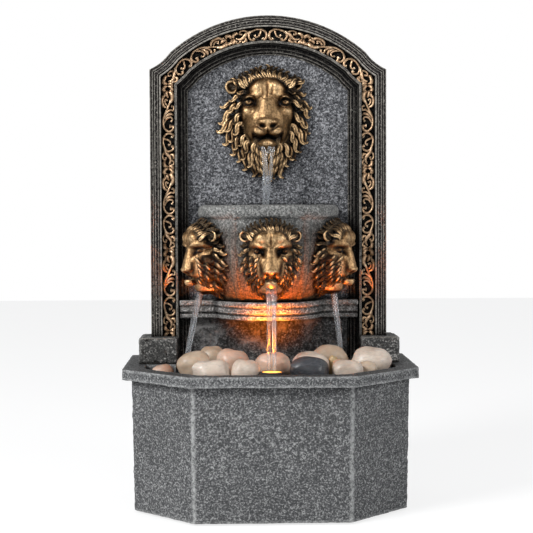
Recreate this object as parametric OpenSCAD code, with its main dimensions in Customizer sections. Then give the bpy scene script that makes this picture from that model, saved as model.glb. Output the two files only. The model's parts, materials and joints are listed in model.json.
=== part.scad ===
// Tabletop wall fountain: a half-octagon basin, an arched wall with a lion mask,
// a half-round bowl with three lion heads, loose pebbles, a pump and a lamp.
// Front is towards -Y, up is +Z, the origin is under the middle of the basin.

/* [Basin] */
// Half of the width over the rim
rim_half_width = 141.5; // [100:0.5:200]
// Half of the depth from the front rim to the back
half_depth = 95; // [75:0.5:130]
// Leg of the diagonal corner of the half octagon
rim_corner = 65; // [40:0.5:80]
// Height of the rim's top above the table
rim_top = 138; // [110:0.5:180]
// Height of the rim slab
rim_height = 10; // [6:0.5:16]
// How far the rim overhangs the basin's body
rim_overhang = 8.5; // [4:0.5:12]
// Extra inset at the foot of the body
body_draft = 2; // [0:0.5:5]
// Rounding of the upright corners
corner_round = 5; // [2:0.5:8]
// Thickness of the basin's sides
basin_wall = 7.5; // [5:0.5:11]
// Thickness of the basin's floor
basin_floor = 6; // [4:0.5:10]
// Flat width of the rim along the front
front_flat = 15; // [12:0.5:20]
// Flat width of the rim along the sides
side_flat = 20; // [16:0.5:25]
// Flat width of the rim along the back
back_flat = 14; // [12:0.5:20]
// Depth of the tray's seat under the rim's top
tray_depth = 15; // [10:0.5:24]
// Width of the ledge that carries the tray
ledge_width = 6; // [4:0.5:9]
// Height of the ledge
ledge_height = 12; // [6:0.5:20]
// Half width of the opening between the two rear decks
deck_opening = 92; // [60:0.5:100]
// Radius of a foot pad
foot_radius = 9; // [6:0.5:14]
// Height of the foot pads under the basin
foot_height = 2; // [1:0.5:4]
// Depth of the recess for a foot pad
foot_recess = 1; // [0.5:0.5:2]
// Distance of the front foot pads from the side
foot_inset_front = 78; // [60:1:90]
// Distance of the rear foot pads from the side
foot_inset_rear = 34; // [28:1:60]
// Distance of the foot pads from the front and the back
foot_inset_depth = 32; // [26:1:45]

/* [Tray] */
// Thickness of the tray
tray_thickness = 3; // [2:0.5:5]
// Gap between the tray and the basin
tray_gap = 0.8; // [0.4:0.1:2]
// Radius of a drain hole
drain_radius = 3.5; // [2:0.5:5]
// Distance between drain holes
drain_pitch = 27; // [20:1:40]

/* [Wall] */
// Half width of the arched frame
frame_half_width = 117; // [90:0.5:125]
// Height of the top of the arch
frame_top = 480.8; // [400:0.1:560]
// Radius of the arch
arch_radius = 146.5; // [120:0.5:180]
// Radius of the hollow shoulder
shoulder_radius = 50; // [30:0.5:70]
// How far the frame's upper corners stand out beyond the arch
shoulder_step = 3.3; // [1:0.1:8]
// Depth of the wall from the frame's face to the back
wall_depth = 70; // [62:0.5:80]
// Depth of the panel behind the frame's face
panel_depth = 16; // [10:0.5:24]
// Thickness of the panel
panel_thickness = 6; // [4:0.5:9]
// Thickness of the wall's sides
side_thickness = 8; // [5:0.5:12]
// Width of the frame's outer border
border_width = 10.9; // [8:0.1:14]
// Width of the scroll channel
channel_width = 13.8; // [10:0.1:18]
// Depth of the scroll channel
channel_depth = 8; // [5:0.5:12]
// Width of the inner bead
bead_width = 2; // [1:0.1:3]
// Width of the stepped coves inside the bead
cove_width = 10.3; // [8:0.1:14]
// Depth of the fine grooves in the border
groove_depth = 3; // [1:0.5:5]
// Width of the fine grooves in the border
groove_width = 1.2; // [0.8:0.1:2]

/* [Plinth blocks] */
// Outer half width over the blocks
block_outer = 128.5; // [100:0.5:135]
// Inner half width between the blocks
block_inner = 91; // [70:0.5:110]
// How far the blocks stand in front of the frame
block_step = 13; // [6:0.5:20]
// Depth of the blocks
block_depth = 48; // [30:1:70]
// Height of the blocks above the rim
block_height = 25.4; // [15:0.1:40]
// Bevel round the blocks
block_bevel = 3; // [1:0.5:5]

/* [Rear cover] */
// Thickness of the rear cover
cover_thickness = 3; // [2:0.5:4]
// Gap between the cover and the wall
cover_gap = 0.4; // [0.2:0.1:1]
// Width of the rebate that holds the cover
rebate_width = 4; // [2:0.5:6]
// Radius of a screw boss
boss_radius = 5; // [4:0.5:8]
// Radius of a screw shank
screw_radius = 1.6; // [1:0.1:2.5]
// Length of a screw shank
screw_length = 10; // [6:0.5:16]
// Radius of a screw head
screw_head_radius = 3; // [2:0.1:4]
// Radius of the notch where the leads leave
notch_radius = 7; // [4:0.5:12]

/* [Scroll relief] */
// Distance between two scroll pairs on the sides
scroll_pitch = 82; // [60:1:100]
// Height of the lowest scroll pair
scroll_low = 203.5; // [180:0.5:230]
// Height of the relief above the channel
scroll_height = 4; // [2:0.5:6]
// Thickness of the strip behind the relief
scroll_strip = 0.8; // [0.5:0.1:1.5]
// Outer radius of a scroll's curl
curl_radius = 5.4; // [3:0.1:7]
// Width of the scroll's stem
stem_width = 2; // [1:0.1:4]
// Angle between the scroll pairs on the arch
arch_scroll_angle = 34; // [25:1:45]

/* [Shelf] */
// Height of the shelf's top
shelf_top = 199.5; // [180:0.5:230]
// Height of the shelf moulding
shelf_height = 18; // [12:0.5:24]
// Half width of the shelf
shelf_half_width = 79.4; // [60:0.1:90]
// Gap between the shelf's long front part and the coves beside it
shelf_end_gap = 0.4; // [0.3:0.1:1]
// How far the shelf stands out at the sides
shelf_reach = 14; // [8:0.5:20]
// Radius of the round middle of the shelf
bulge_radius = 56; // [50:0.5:70]

/* [Bowl] */
// Radius of the bowl over the lip
bowl_radius = 70.5; // [64:0.5:76]
// Height of the lip's top
bowl_top = 294; // [270:0.5:320]
// Height of the lip
lip_height = 13.5; // [8:0.5:18]
// How far the lip overhangs the bowl's body
lip_overhang = 4.5; // [2:0.5:7]
// Radius of the bowl's foot
bowl_foot = 46; // [36:0.5:52]
// Thickness of the bowl's wall
bowl_wall = 5; // [3.5:0.5:7]
// Thickness of the bowl's floor
bowl_floor = 7; // [4:0.5:10]
// Height of the raised straps
strap_height = 1.6; // [0.5:0.1:2.5]
// Angle that a strap covers
strap_width_angle = 5.5; // [3:0.5:6]

/* [Lions] */
// Half width of the large mask
mask_half_width = 47.5; // [38:0.5:56]
// Half height of the large mask
mask_half_height = 58.5; // [45:0.5:70]
// Height of the large mask's middle
mask_height = 373; // [350:0.5:395]
// How far the large mask stands out from the panel
mask_reach = 35; // [24:0.5:50]
// Half width of a lion head on the bowl
head_half_width = 29; // [22:0.5:33]
// Half height of a lion head on the bowl
head_half_height = 37; // [30:0.5:40]
// Height of the manes above the shelf
head_clearance = 4.5; // [3:0.5:8]
// How far the heads stand out from the bowl
head_reach = 32; // [20:0.5:44]
// Angle of the side heads from the front
head_angle = 66; // [60:0.5:75]
// Gap between the heads and what carries them
head_gap = 0.4; // [0.2:0.05:0.8]
// Thickness of the mane's edge
mane_edge = 3.5; // [2:0.5:7]
// Number of locks round a mane
mane_locks = 16; // [10:1:20]

/* [Water pipes] */
// Outer radius of the top spout
spout_radius = 3.8; // [3:0.1:5]
// Inner radius of the top spout
spout_bore = 2.6; // [1.5:0.1:3.5]
// Outer radius of the bowl's spouts
outlet_radius = 3; // [2:0.1:4]
// Inner radius of the bowl's spouts
outlet_bore = 2; // [1:0.1:3]
// Gap round the pipes
pipe_gap = 0.3; // [0.2:0.05:0.6]
// Wall of the hose
hose_wall = 2; // [1:0.5:3]
// Height where the hose begins
hose_start = 60; // [55:0.5:70]
// Height of a hose clamp
clamp_height = 7; // [4:0.5:10]
// Thickness of a hose clamp
clamp_thickness = 1.2; // [0.8:0.1:2]

/* [Pump] */
// Distance of the hose and the pump's outlet from the back
pump_setback = 37; // [35:0.5:41]
// Height of the rotor's axis
rotor_height = 32; // [29:0.5:36]
// Length of the pump's body
pump_length = 40; // [34:0.5:50]
// Half of the pump's width
pump_half_width = 17; // [16:0.5:19]
// Half of the pump's height
pump_half_height = 16; // [15.5:0.5:17]
// Half length of the volute
volute_half_length = 7; // [6:0.5:9]
// Radius of the volute's chamber
chamber_radius = 12; // [10:0.5:12.5]
// Radius of the rotor's magnet
magnet_radius = 7; // [5:0.5:8]
// Gap round the magnet
magnet_gap = 0.8; // [0.4:0.1:1.2]
// Radius of the rotor's shaft
shaft_radius = 1.25; // [1:0.05:2]
// Running gap round the shaft
shaft_gap = 0.06; // [0.03:0.01:0.1]
// Radius of the shaft's bushes
bush_radius = 3; // [2.5:0.1:3.5]
// Length of the volute's collar that carries the intake cover
collar_length = 7; // [5:0.5:10]
// Length of the intake cover
intake_length = 19; // [16:0.5:26]
// Wall of the intake cover
intake_wall = 2; // [1.5:0.5:3]
// Radius of the flow dial
dial_radius = 9; // [7:0.5:11]
// Radius of a suction cup
cup_radius = 7; // [5:0.5:8]

/* [Lamp] */
// Distance of the lamp from the front rim
lamp_setback = 31; // [29:0.5:35]
// Radius of the lamp
lamp_radius = 11; // [9:0.5:12]
// Height of the lamp
lamp_height = 13; // [10:0.5:14]
// Wall of the lamp's housing
lamp_wall = 1.6; // [1:0.1:2.5]

/* [Pebbles] */
// Half thickness of the tall stones
tall_stone = 15; // [12:0.5:16]
// Half thickness of the front stones
front_stone = 12.5; // [9:0.5:14]
// Half thickness of the small stones
small_stone = 9; // [6:0.5:10]

/* [Hidden] */
body_bottom = foot_height;
rim_low = rim_top - rim_height;
floor_top = body_bottom + basin_floor;
tray_bottom = rim_top - tray_depth;
tray_top = tray_bottom + tray_thickness;
ledge_low = tray_bottom - ledge_height;
opening_half = rim_half_width - side_flat;
opening_front = -half_depth + front_flat;
opening_back = half_depth - back_flat;
opening_corner = rim_corner - (front_flat + side_flat) * 0.3;
frame_front = half_depth - wall_depth;
block_front = frame_front - block_step;
deck_front = block_front - 4;
pump_back = half_depth - pump_setback;
lamp_front = half_depth - lamp_setback;
stone_step = 2 * opening_half / 9;
panel_front = frame_front + panel_depth;
panel_back = panel_front + panel_thickness;
wall_back = half_depth;
cover_front = wall_back - cover_thickness;
arch_z = frame_top - arch_radius;
shoulder_reach = arch_radius + shoulder_radius - 1;
corner_reach = arch_radius + shoulder_step;
shoulder_height = arch_z + sqrt(pow(corner_reach, 2) - pow(frame_half_width, 2));
corner_turn = acos((pow(shoulder_reach, 2) + pow(corner_reach, 2) - pow(shoulder_radius, 2))
    / (2 * shoulder_reach * corner_reach));
shoulder_angle = atan2(shoulder_height - arch_z, frame_half_width) + corner_turn;
shoulder_x = shoulder_reach * cos(shoulder_angle);
shoulder_z = arch_z + shoulder_reach * sin(shoulder_angle);
bead_inset = border_width + channel_width;
cove_inset = bead_inset + bead_width + 1;
panel_inset = bead_inset + bead_width + cove_width;
channel_front = frame_front + channel_depth;
channel_middle = border_width + channel_width / 2;
block_top = rim_top + block_height;
boss_x = frame_half_width - side_thickness - boss_radius + 1;
boss_low = rim_top + 22;
boss_high = shoulder_height - 36;
boss_middle = (boss_low + boss_high) / 2;
boss_peak = frame_top - side_thickness - boss_radius + 1;
strap_angle = head_angle / 2;
shelf_low = shelf_top - shelf_height;
shelf_wide = frame_half_width - cove_inset - shelf_end_gap;
shelf_step = panel_depth * 0.3 + shelf_end_gap;
bowl_body_radius = bowl_radius - lip_overhang;
lip_low = bowl_top - lip_height;
mask_nose_drop = 1;
head_nose_drop = 12;
mask_scale = mask_half_width / 47.5;
head_scale = head_half_width / 29;
head_height = shelf_top + head_clearance + head_half_height;
spout_z = mask_height - (mask_nose_drop + 16) * mask_scale;
outlet_z = head_height - (head_nose_drop + 9.6) * head_scale;
scroll_half_width = channel_width / 2 - 0.4;
scroll_reach = arch_scroll_angle * 1.47;
scroll_join = arch_z + (arch_radius - channel_middle - scroll_half_width) * cos(scroll_reach) - 0.5;
spout_tip = panel_front - mask_reach * 0.62;
bend_radius = 7;
hose_bore = spout_radius + pipe_gap;
hose_radius = hose_bore + hose_wall;
hose_top = spout_z - bend_radius - 4;
volute_outer = chamber_radius + 2.5;
well_radius = magnet_radius + magnet_gap;
pump_left = volute_half_length;
pump_right = pump_left + pump_length;
intake_right = -volute_half_length - 1;
intake_left = intake_right - intake_length;
nipple_low = rotor_height + chamber_radius - 1;
nipple_top = hose_start + 12;
magnet_start = pump_left + 3;
magnet_end = pump_right - 10;
bush_length = 4;
bush_start = -volute_half_length + 1.5;
hub_start = bush_start + bush_length + 0.3;
well_end = magnet_end + 0.5;
shaft_start = bush_start;
shaft_end = well_end + bush_length;
seal_depth = 1.2;
lamp_base = tray_top;
lamp_top = lamp_base + lamp_height;

// Outline helpers

// A half octagon: square at the back, cut corners at the front.
function octagon(w, f, b, c) = [[w, b], [-w, b], [-w, f + c], [-w + c, f], [w - c, f], [w, f + c]];

// The basin's outline moved inwards by i.
function basin_line(i) = octagon(rim_half_width - i, -half_depth + i, half_depth - i,
    rim_corner - i * (2 - sqrt(2)));

function unit(v) = v / norm(v);

// Points of one rounded corner at p between its neighbours a and b.
function corner_points(p, a, b, r, n) =
    let (da = unit(a - p), db = unit(b - p), half = acos(da * db) / 2)
    let (c = p + unit(da + db) * r / sin(half), t = r / tan(half))
    let (pa = p + da * t - c, pb = p + db * t - c)
    let (sa = atan2(pa[1], pa[0]), sb = atan2(pb[1], pb[0]))
    let (turn = (sb - sa) > 180 ? sb - sa - 360 : ((sb - sa) < -180 ? sb - sa + 360 : sb - sa))
    [for (k = [0:n]) c + r * [cos(sa + turn * k / n), sin(sa + turn * k / n)]];

function round_line(line, r, n) = let (m = len(line))
    [for (k = [0:m - 1]) each corner_points(line[k], line[(k + m - 1) % m], line[(k + 1) % m], r, n)];

// A solid between two outlines of equal length at two heights.
module loft(low_line, low_z, high_line, high_z) {
    m = len(low_line);
    polyhedron(
        points = [for (p = low_line) [p[0], p[1], low_z], for (p = high_line) [p[0], p[1], high_z]],
        faces = [[for (k = [0:m - 1]) k], [for (k = [m - 1:-1:0]) m + k],
            for (k = [0:m - 1]) [k, m + k, m + (k + 1) % m],
            for (k = [0:m - 1]) [k, m + (k + 1) % m, (k + 1) % m]]);
}

module slab(line, low_z, high_z) {
    translate([0, 0, low_z]) linear_extrude(height = high_z - low_z) polygon(line);
}

// Upright shape in X and Z, spanning from one Y to another.
module upright(front, back) {
    translate([0, back, 0]) rotate([90, 0, 0]) linear_extrude(height = back - front) children();
}

// The arched outline of the frame moved inwards by i.
module arch_shape(i, low) {
    difference() {
        translate([-frame_half_width + i, low]) square([2 * (frame_half_width - i), frame_top + 20 - low]);
        difference() {
            polygon([[0, arch_z], [shoulder_x, shoulder_z], [2 * shoulder_x, frame_top + 60],
                [-2 * shoulder_x, frame_top + 60], [-shoulder_x, shoulder_z]]);
            translate([0, arch_z]) circle(r = arch_radius - i, $fn = 180);
        }
        for (s = [-1, 1]) translate([s * shoulder_x, shoulder_z])
            circle(r = shoulder_radius + i, $fn = 120);
    }
}

module arch_ring(a, b, low) {
    difference() {
        arch_shape(a, low);
        arch_shape(b, low - 10);
    }
}

// Pipe along Z.
module pipe(r_out, r_in, h) {
    difference() {
        cylinder(r = r_out, h = h, $fn = 64);
        translate([0, 0, -1]) cylinder(r = r_in, h = h + 2, $fn = 64);
    }
}

// Basin

module tray_opening(inset, low_z, high_z) {
    line = octagon(opening_half - inset, opening_front + inset, deck_front - inset,
        opening_corner - inset * (2 - sqrt(2)));
    slab(line, low_z, high_z);
    translate([-deck_opening + inset, 0, low_z])
        cube([2 * (deck_opening - inset), opening_back - inset, high_z - low_z]);
}

module basin() {
    color([0.27, 0.29, 0.31]) difference() {
        union() {
            loft(round_line(basin_line(rim_overhang + body_draft), corner_round, 4), body_bottom,
                round_line(basin_line(rim_overhang), corner_round, 4), rim_low + 2);
            slab(round_line(basin_line(0), 2.5, 4), rim_low, rim_top);
        }
        slab(basin_line(rim_overhang + body_draft + basin_wall), floor_top, ledge_low);
        tray_opening(ledge_width, ledge_low - 1, tray_bottom + 1);
        tray_opening(0, tray_bottom, rim_top + 1);
        for (x = [-1, 1], y = [-1, 1])
            translate([foot_x(y) * x, y * foot_y, body_bottom - 1])
                cylinder(r = foot_radius + 0.3, h = foot_recess + 1, $fn = 48);
    }
}

foot_y = half_depth - foot_inset_depth;
function foot_x(y) = rim_half_width - (y < 0 ? foot_inset_front : foot_inset_rear);

module basin_feet() {
    color([0.08, 0.08, 0.08])
        for (x = [-1, 1], y = [-1, 1])
            translate([foot_x(y) * x, y * foot_y, 0])
                cylinder(r = foot_radius, h = foot_height + foot_recess, $fn = 48);
}

// Tray and pebbles

module pebble_tray() {
    color([0.12, 0.12, 0.13]) difference() {
        tray_opening(tray_gap, tray_bottom, tray_top);
        for (x = [-3:3], y = [-2:0])
            translate([x * drain_pitch, y * drain_pitch + 4, tray_bottom - 1])
                cylinder(r = drain_radius, h = tray_thickness + 2, $fn = 32);
        translate([0, pump_back, tray_bottom - 1])
            cylinder(r = hose_radius + clamp_thickness + 2, h = tray_thickness + 2, $fn = 48);
    }
}

// Distance in stone steps behind the front of the tray's opening.
function stone_row(k) = opening_front + k * stone_step;

// One stone lying on the tray. Its place to the side and its half width and depth count in stone
// steps, of which nine go across the tray; c is its half thickness.
module stone(x, y, a, b, c) {
    translate([x * stone_step, y, tray_top + c])
        scale([a * stone_step, b * stone_step, c]) sphere(r = 1, $fn = 48);
}

module pebbles_white() {
    color([0.86, 0.85, 0.82]) {
        stone(-2.08, stone_row(0.67), 0.667, 0.426, front_stone);
        stone(-0.93, stone_row(0.74), 0.467, 0.389, front_stone);
        stone(1.41, stone_row(1.89), 0.648, 0.444, tall_stone - 0.5);
        stone(2.63, stone_row(1.00), 0.526, 0.370, front_stone - 1);
        stone(3.61, deck_front - 18.0, 0.726, 0.519, tall_stone);
    }
}

module pebbles_tan() {
    color([0.66, 0.52, 0.36]) {
        stone(-2.70, stone_row(1.85), 0.674, 0.481, tall_stone - 0.5);
        stone(-2.06, stone_row(2.93), 0.511, 0.407, tall_stone + 1);
        stone(2.15, stone_row(2.93), 0.667, 0.481, tall_stone + 0.5);
        stone(3.37, stone_row(1.56), 0.378, 0.333, small_stone + 1);
    }
}

module pebbles_pink() {
    color([0.78, 0.60, 0.50]) {
        stone(-1.38, stone_row(2.04), 0.585, 0.444, tall_stone + 0.5);
        stone(0.05, stone_row(1.78), 0.659, 0.481, tall_stone - 1);
        stone(2.37, stone_row(1.63), 0.204, 0.204, front_stone - 1.5);
        stone(-3.81, deck_front - 28.0, 0.389, 0.296, small_stone - 1);
    }
}

module pebble_yellow() {
    color([0.80, 0.64, 0.30]) stone(2.24, stone_row(2.15), 0.207, 0.200, front_stone - 1);
}

module pebble_black() {
    color([0.05, 0.05, 0.06]) stone(1.30, stone_row(0.74), 0.722, 0.481, front_stone + 0.5);
}

// Wall casting

module plinth_block(s) {
    b = block_bevel;
    w = block_outer - block_inner;
    x = s > 0 ? block_inner : -block_outer;
    translate([x, block_front, rim_top]) intersection() {
        linear_extrude(height = block_height) polygon([[b, 0], [w - b, 0], [w, b],
            [w, block_depth - b], [w - b, block_depth], [b, block_depth], [0, block_depth - b], [0, b]]);
        translate([0, block_depth + 1, 0]) rotate([90, 0, 0]) linear_extrude(height = block_depth + 2)
            polygon([[-1, 0], [w + 1, 0], [w + 1, block_height - b - 1], [w - b, block_height],
                [b, block_height], [-1, block_height - b - 1]]);
    }
}

module rear_points() {
    for (s = [-1, 1], z = [boss_low, boss_middle, boss_high]) translate([s * boss_x, 0, z]) children();
    translate([0, 0, boss_peak]) children();
}

module wall_casting() {
    low = rim_top - 20;
    color([0.22, 0.22, 0.23]) difference() {
        union() {
            difference() {
                upright(frame_front, wall_back) arch_shape(0, rim_top);
                upright(frame_front - 1, frame_front + groove_depth)
                    arch_ring(border_width * 0.3, border_width * 0.3 + groove_width, low);
                upright(frame_front - 1, frame_front + groove_depth)
                    arch_ring(border_width * 0.76, border_width * 0.76 + groove_width, low);
                upright(frame_front - 1, channel_front) arch_shape(border_width, low);
                upright(frame_front, frame_front + panel_depth * 0.7) arch_shape(cove_inset, low);
                upright(frame_front, frame_front + panel_depth * 0.83)
                    arch_shape(cove_inset + cove_width * 0.36, low);
                upright(frame_front, frame_front + panel_depth * 0.93)
                    arch_shape(cove_inset + cove_width * 0.66, low);
                upright(frame_front, panel_front) arch_shape(panel_inset, low);
                upright(panel_back, wall_back + 1) arch_shape(side_thickness, low);
            }
            upright(frame_front + 1, channel_front + 1)
                arch_ring(bead_inset, bead_inset + bead_width, rim_top);
            for (s = [-1, 1]) plinth_block(s);
            intersection() {
                rear_points() translate([0, wall_back, 0]) rotate([90, 0, 0])
                    cylinder(r = boss_radius, h = 30, $fn = 40);
                upright(panel_back, wall_back) arch_shape(2, rim_top);
            }
        }
        upright(cover_front, wall_back + 1)
            arch_shape(side_thickness - rebate_width, low);
        rear_points() translate([0, wall_back + 1, 0]) rotate([90, 0, 0])
            cylinder(r = screw_radius, h = cover_thickness + screw_length + 1, $fn = 32);
        translate([0, panel_back + 1, spout_z]) rotate([90, 0, 0])
            cylinder(r = spout_radius + pipe_gap, h = panel_thickness + 2, $fn = 48);
    }
}

module rear_cover() {
    color([0.10, 0.10, 0.11]) difference() {
        upright(cover_front, wall_back)
            arch_shape(side_thickness - rebate_width + cover_gap, rim_top);
        rear_points() translate([0, wall_back, 0]) rotate([90, 0, 0])
            rotate_extrude($fn = 40) polygon([[0, -1], [screw_head_radius + 0.3, -1],
                [screw_head_radius + 0.3, 1.6], [screw_radius + 0.3, 1.6],
                [screw_radius + 0.3, cover_thickness + 1], [0, cover_thickness + 1]]);
        translate([0, wall_back + 1, rim_top]) rotate([90, 0, 0])
            cylinder(r = notch_radius, h = cover_thickness + 2, $fn = 48);
    }
}

module rear_cover_screws() {
    color([0.55, 0.56, 0.58]) rear_points() difference() {
        union() {
            translate([0, wall_back, 0]) rotate([90, 0, 0])
                cylinder(r = screw_head_radius, h = 1.6, $fn = 40);
            translate([0, wall_back - 1, 0]) rotate([90, 0, 0])
                cylinder(r = screw_radius, h = screw_length, $fn = 32);
        }
        for (t = [0, 90]) rotate([0, t, 0]) translate([-1.6, wall_back - 0.9, -0.35]) cube([3.2, 2, 0.7]);
    }
}

// Scroll relief

// A band that follows the points of a line, w0 wide at its start and w1 at its end.
module band(line, w0, w1) {
    n = len(line) - 1;
    side = [for (k = [0:n]) let (d = unit(line[min(k + 1, n)] - line[max(k - 1, 0)]))
        [-d[1], d[0]] * (w0 + (w1 - w0) * k / n) / 2];
    polygon([for (k = [0:n]) line[k] + side[k], for (k = [n:-1:0]) line[k] - side[k]]);
}

// Points of a spiral from radius r0 to r1.
function spiral(c, r0, r1, from, turn, n) = [for (k = [0:n])
    c + (r0 + (r1 - r0) * k / n) * [cos(from + turn * k / n), sin(from + turn * k / n)]];

// A pointed leaf of length l and width w along the X axis.
module leaf(l, w) {
    n = 5;
    polygon([for (k = [0:n]) [l * k / n, w / 2 * sin(180 * pow(k / n, 0.8))],
        for (k = [n - 1:-1:1]) [l * k / n, -w / 2 * sin(180 * pow(k / n, 0.8))]]);
}

// Half of a scroll pair: a spiral, its leaves and the stem that runs out from it.
module scroll_half() {
    c = [0.4, curl_radius + 2];
    band(spiral(c, curl_radius - 0.4, 1.2, -60, -470, 22), stem_width, stem_width * 0.6);
    translate(c) circle(r = 1.7, $fn = 24);
    band([for (k = [0:10]) [-curl_radius + 1 + (curl_radius * 2 - 2) * ramp(k / 8.5), 7 + 2.1 * k]],
        stem_width, stem_width * 0.9);
    for (k = [0:2]) translate([-4.2 + k * 2.4, 13 + k * 2.6]) rotate(62 + k * 14) leaf(6.4, 2.8);
    for (k = [0:2]) translate([3.4 - k * 0.8, 21 + k * 3.6]) rotate(100 + k * 30) leaf(6.6, 2.8);
    band([for (k = [0:6]) [3.6 - 3.6 * ramp(k / 6), 26 + k * 2.3]], stem_width * 0.9, stem_width * 0.7);
    translate([0, 0]) rotate(90) leaf(6, 3.4);
}

module scroll_pair() {
    scroll_half();
    mirror([0, 1]) scroll_half();
    circle(r = 1.8, $fn = 24);
    for (t = [0, 180]) rotate(t) leaf(5.6, 3);
}

// A four-petal flower between two pairs.
module scroll_flower() {
    circle(r = 1.8, $fn = 24);
    for (t = [0:90:270]) rotate(t) leaf(5.8, 4.2);
}

module scroll_side(s) {
    x = s * (frame_half_width - channel_middle);
    high = scroll_join;
    half = scroll_half_width;
    color([0.66, 0.50, 0.26]) {
        upright(channel_front - scroll_height, channel_front - scroll_strip / 2) intersection() {
            translate([x, 0]) mirror([s < 0 ? 1 : 0, 0]) {
                for (k = [0:2]) translate([0, scroll_low + k * scroll_pitch]) scroll_pair();
                for (k = [0:1]) translate([0, scroll_low + (k + 0.5) * scroll_pitch]) scroll_flower();
                translate([0, scroll_join - 7]) scroll_flower();
            }
            translate([x - half + 0.3, block_top + 0.8]) square([2 * half - 0.6, high - block_top - 1]);
        }
        upright(channel_front - scroll_strip, channel_front)
            translate([x - half, block_top + 0.5]) square([2 * half, high - block_top - 0.5]);
    }
}

module scroll_left() {
    scroll_side(-1);
}

module scroll_right() {
    scroll_side(1);
}

module on_arch(t) {
    translate([0, arch_z]) rotate(t) translate([0, arch_radius - channel_middle]) rotate(90) children();
}

module arch_strip(inset) {
    r = arch_radius - channel_middle;
    half = scroll_half_width - inset;
    reach = scroll_reach - inset * 0.1;
    intersection() {
        difference() {
            translate([0, arch_z]) circle(r = r + half, $fn = 180);
            translate([0, arch_z]) circle(r = r - half, $fn = 180);
            for (s = [-1, 1]) translate([s * shoulder_x, shoulder_z])
                circle(r = shoulder_radius + border_width + 0.4 + inset, $fn = 120);
        }
        translate([0, arch_z]) polygon([[0, 0], 200 * [-sin(reach), cos(reach)],
            300 * [-sin(reach / 2), cos(reach / 2)], 300 * [sin(reach / 2), cos(reach / 2)],
            200 * [sin(reach), cos(reach)]]);
    }
}

module scroll_arch() {
    color([0.66, 0.50, 0.26]) {
        upright(channel_front - scroll_height, channel_front - scroll_strip / 2) intersection() {
            union() {
                for (k = [-1:1]) on_arch(k * arch_scroll_angle) scroll_pair();
                for (k = [-0.5, 0.5]) on_arch(k * arch_scroll_angle) scroll_flower();
            }
            arch_strip(0.3);
        }
        upright(channel_front - scroll_strip, channel_front) arch_strip(0);
    }
}

// Shelf

// Section of the shelf: distance out from its back, and height.
function shelf_line(out) = [[0, shelf_low], [out - 5, shelf_low], [out - 3, shelf_low + 1],
    [out - 3, shelf_low + 4], [out - 5, shelf_low + 5], [out - 4, shelf_low + 6],
    [out - 1.6, shelf_low + 7], [out - 1.6, shelf_low + 11], [out - 3, shelf_low + 12],
    [out - 1, shelf_low + 13], [out, shelf_top - 4], [out, shelf_top - 1.5], [out - 1, shelf_top],
    [0, shelf_top]];

module shelf_moulding() {
    color([0.24, 0.24, 0.25]) {
        translate([-shelf_wide, panel_front, 0]) rotate([90, 0, 90])
            linear_extrude(height = 2 * shelf_wide)
                polygon([for (p = shelf_line(shelf_reach)) [-max(p[0], shelf_step), p[1]]]);
        translate([-shelf_half_width, panel_front, 0]) rotate([90, 0, 90])
            linear_extrude(height = 2 * shelf_half_width)
                polygon([for (p = shelf_line(shelf_reach)) [-p[0], p[1]]]);
        translate([0, panel_front, 0]) rotate([0, 0, 180])
            rotate_extrude(angle = 180, $fn = 180) polygon(shelf_line(bulge_radius));
    }
}

// Bowl

// Outer radius of the bowl's body at a height.
function bowl_line(z) = bowl_foot + (bowl_body_radius - bowl_foot)
    * sqrt(max(0, 1 - pow((lip_low - z) / (lip_low - shelf_top + 0.5), 2)));

bowl_steps = 16;
outlet_tip = bowl_line(outlet_z) + head_reach * 0.5;

// Body and lip of the bowl in one section.
function bowl_section() = let (r = lip_height * 0.4)
    let (low = [bowl_radius, lip_low], high = [bowl_radius, bowl_top])
    [[0, shelf_top], for (k = [0:bowl_steps - 1])
        let (z = shelf_top + (lip_low - shelf_top) * (1 - cos(90 * k / bowl_steps))) [bowl_line(z), z],
        [bowl_body_radius, lip_low],
        each corner_points(low, [0, lip_low], high, r, 6),
        each corner_points(high, low, [0, bowl_top], r, 6), [0, bowl_top]];

// A strap stands on the body and ends inside the lip.
function strap_section() = let (top = lip_low + 2)
    [[bowl_foot - 8, shelf_top + 0.6], for (k = [0:bowl_steps])
        let (z = shelf_top + 0.6 + (top - shelf_top - 0.6) * (1 - cos(90 * k / bowl_steps)))
        [bowl_line(min(z, lip_low)) + strap_height, z], [bowl_foot - 8, top]];

function bowl_hollow() = [[0, shelf_top + bowl_floor], for (k = [0:bowl_steps])
    let (z = shelf_top + bowl_floor + (lip_low - shelf_top - bowl_floor) * k / bowl_steps)
    [bowl_line(z) - bowl_wall, z], [bowl_body_radius - bowl_wall, bowl_top + 1], [0, bowl_top + 1]];

module half_turn(a) {
    translate([0, panel_front, 0]) rotate([0, 0, -90 - a / 2]) rotate_extrude(angle = a, $fn = 180)
        children();
}

module bowl() {
    color([0.26, 0.26, 0.27]) difference() {
        union() {
            translate([0, panel_front, 0]) rotate_extrude($fn = 180) polygon(bowl_section());
            for (s = [-1, 1]) translate([0, panel_front, 0]) rotate([0, 0, s * strap_angle])
                translate([0, -panel_front, 0]) half_turn(strap_width_angle) polygon(strap_section());
        }
        intersection() {
            translate([0, panel_front, 0]) rotate_extrude($fn = 180) polygon(bowl_hollow());
            translate([-100, panel_front - 100, 0]) cube([200, 100 - bowl_wall, 400]);
        }
        translate([-100, panel_front, 100]) cube([200, 100, 300]);
        for (a = [-head_angle, 0, head_angle]) translate([0, panel_front, outlet_z]) rotate([0, 0, a])
            translate([0, -20, 0]) rotate([90, 0, 0])
                cylinder(r = outlet_radius + pipe_gap, h = 80, $fn = 40);
    }
}

// Lions

function ramp(x) = x < 0 ? 0 : (x > 1 ? 1 : x * x * (3 - 2 * x));

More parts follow.
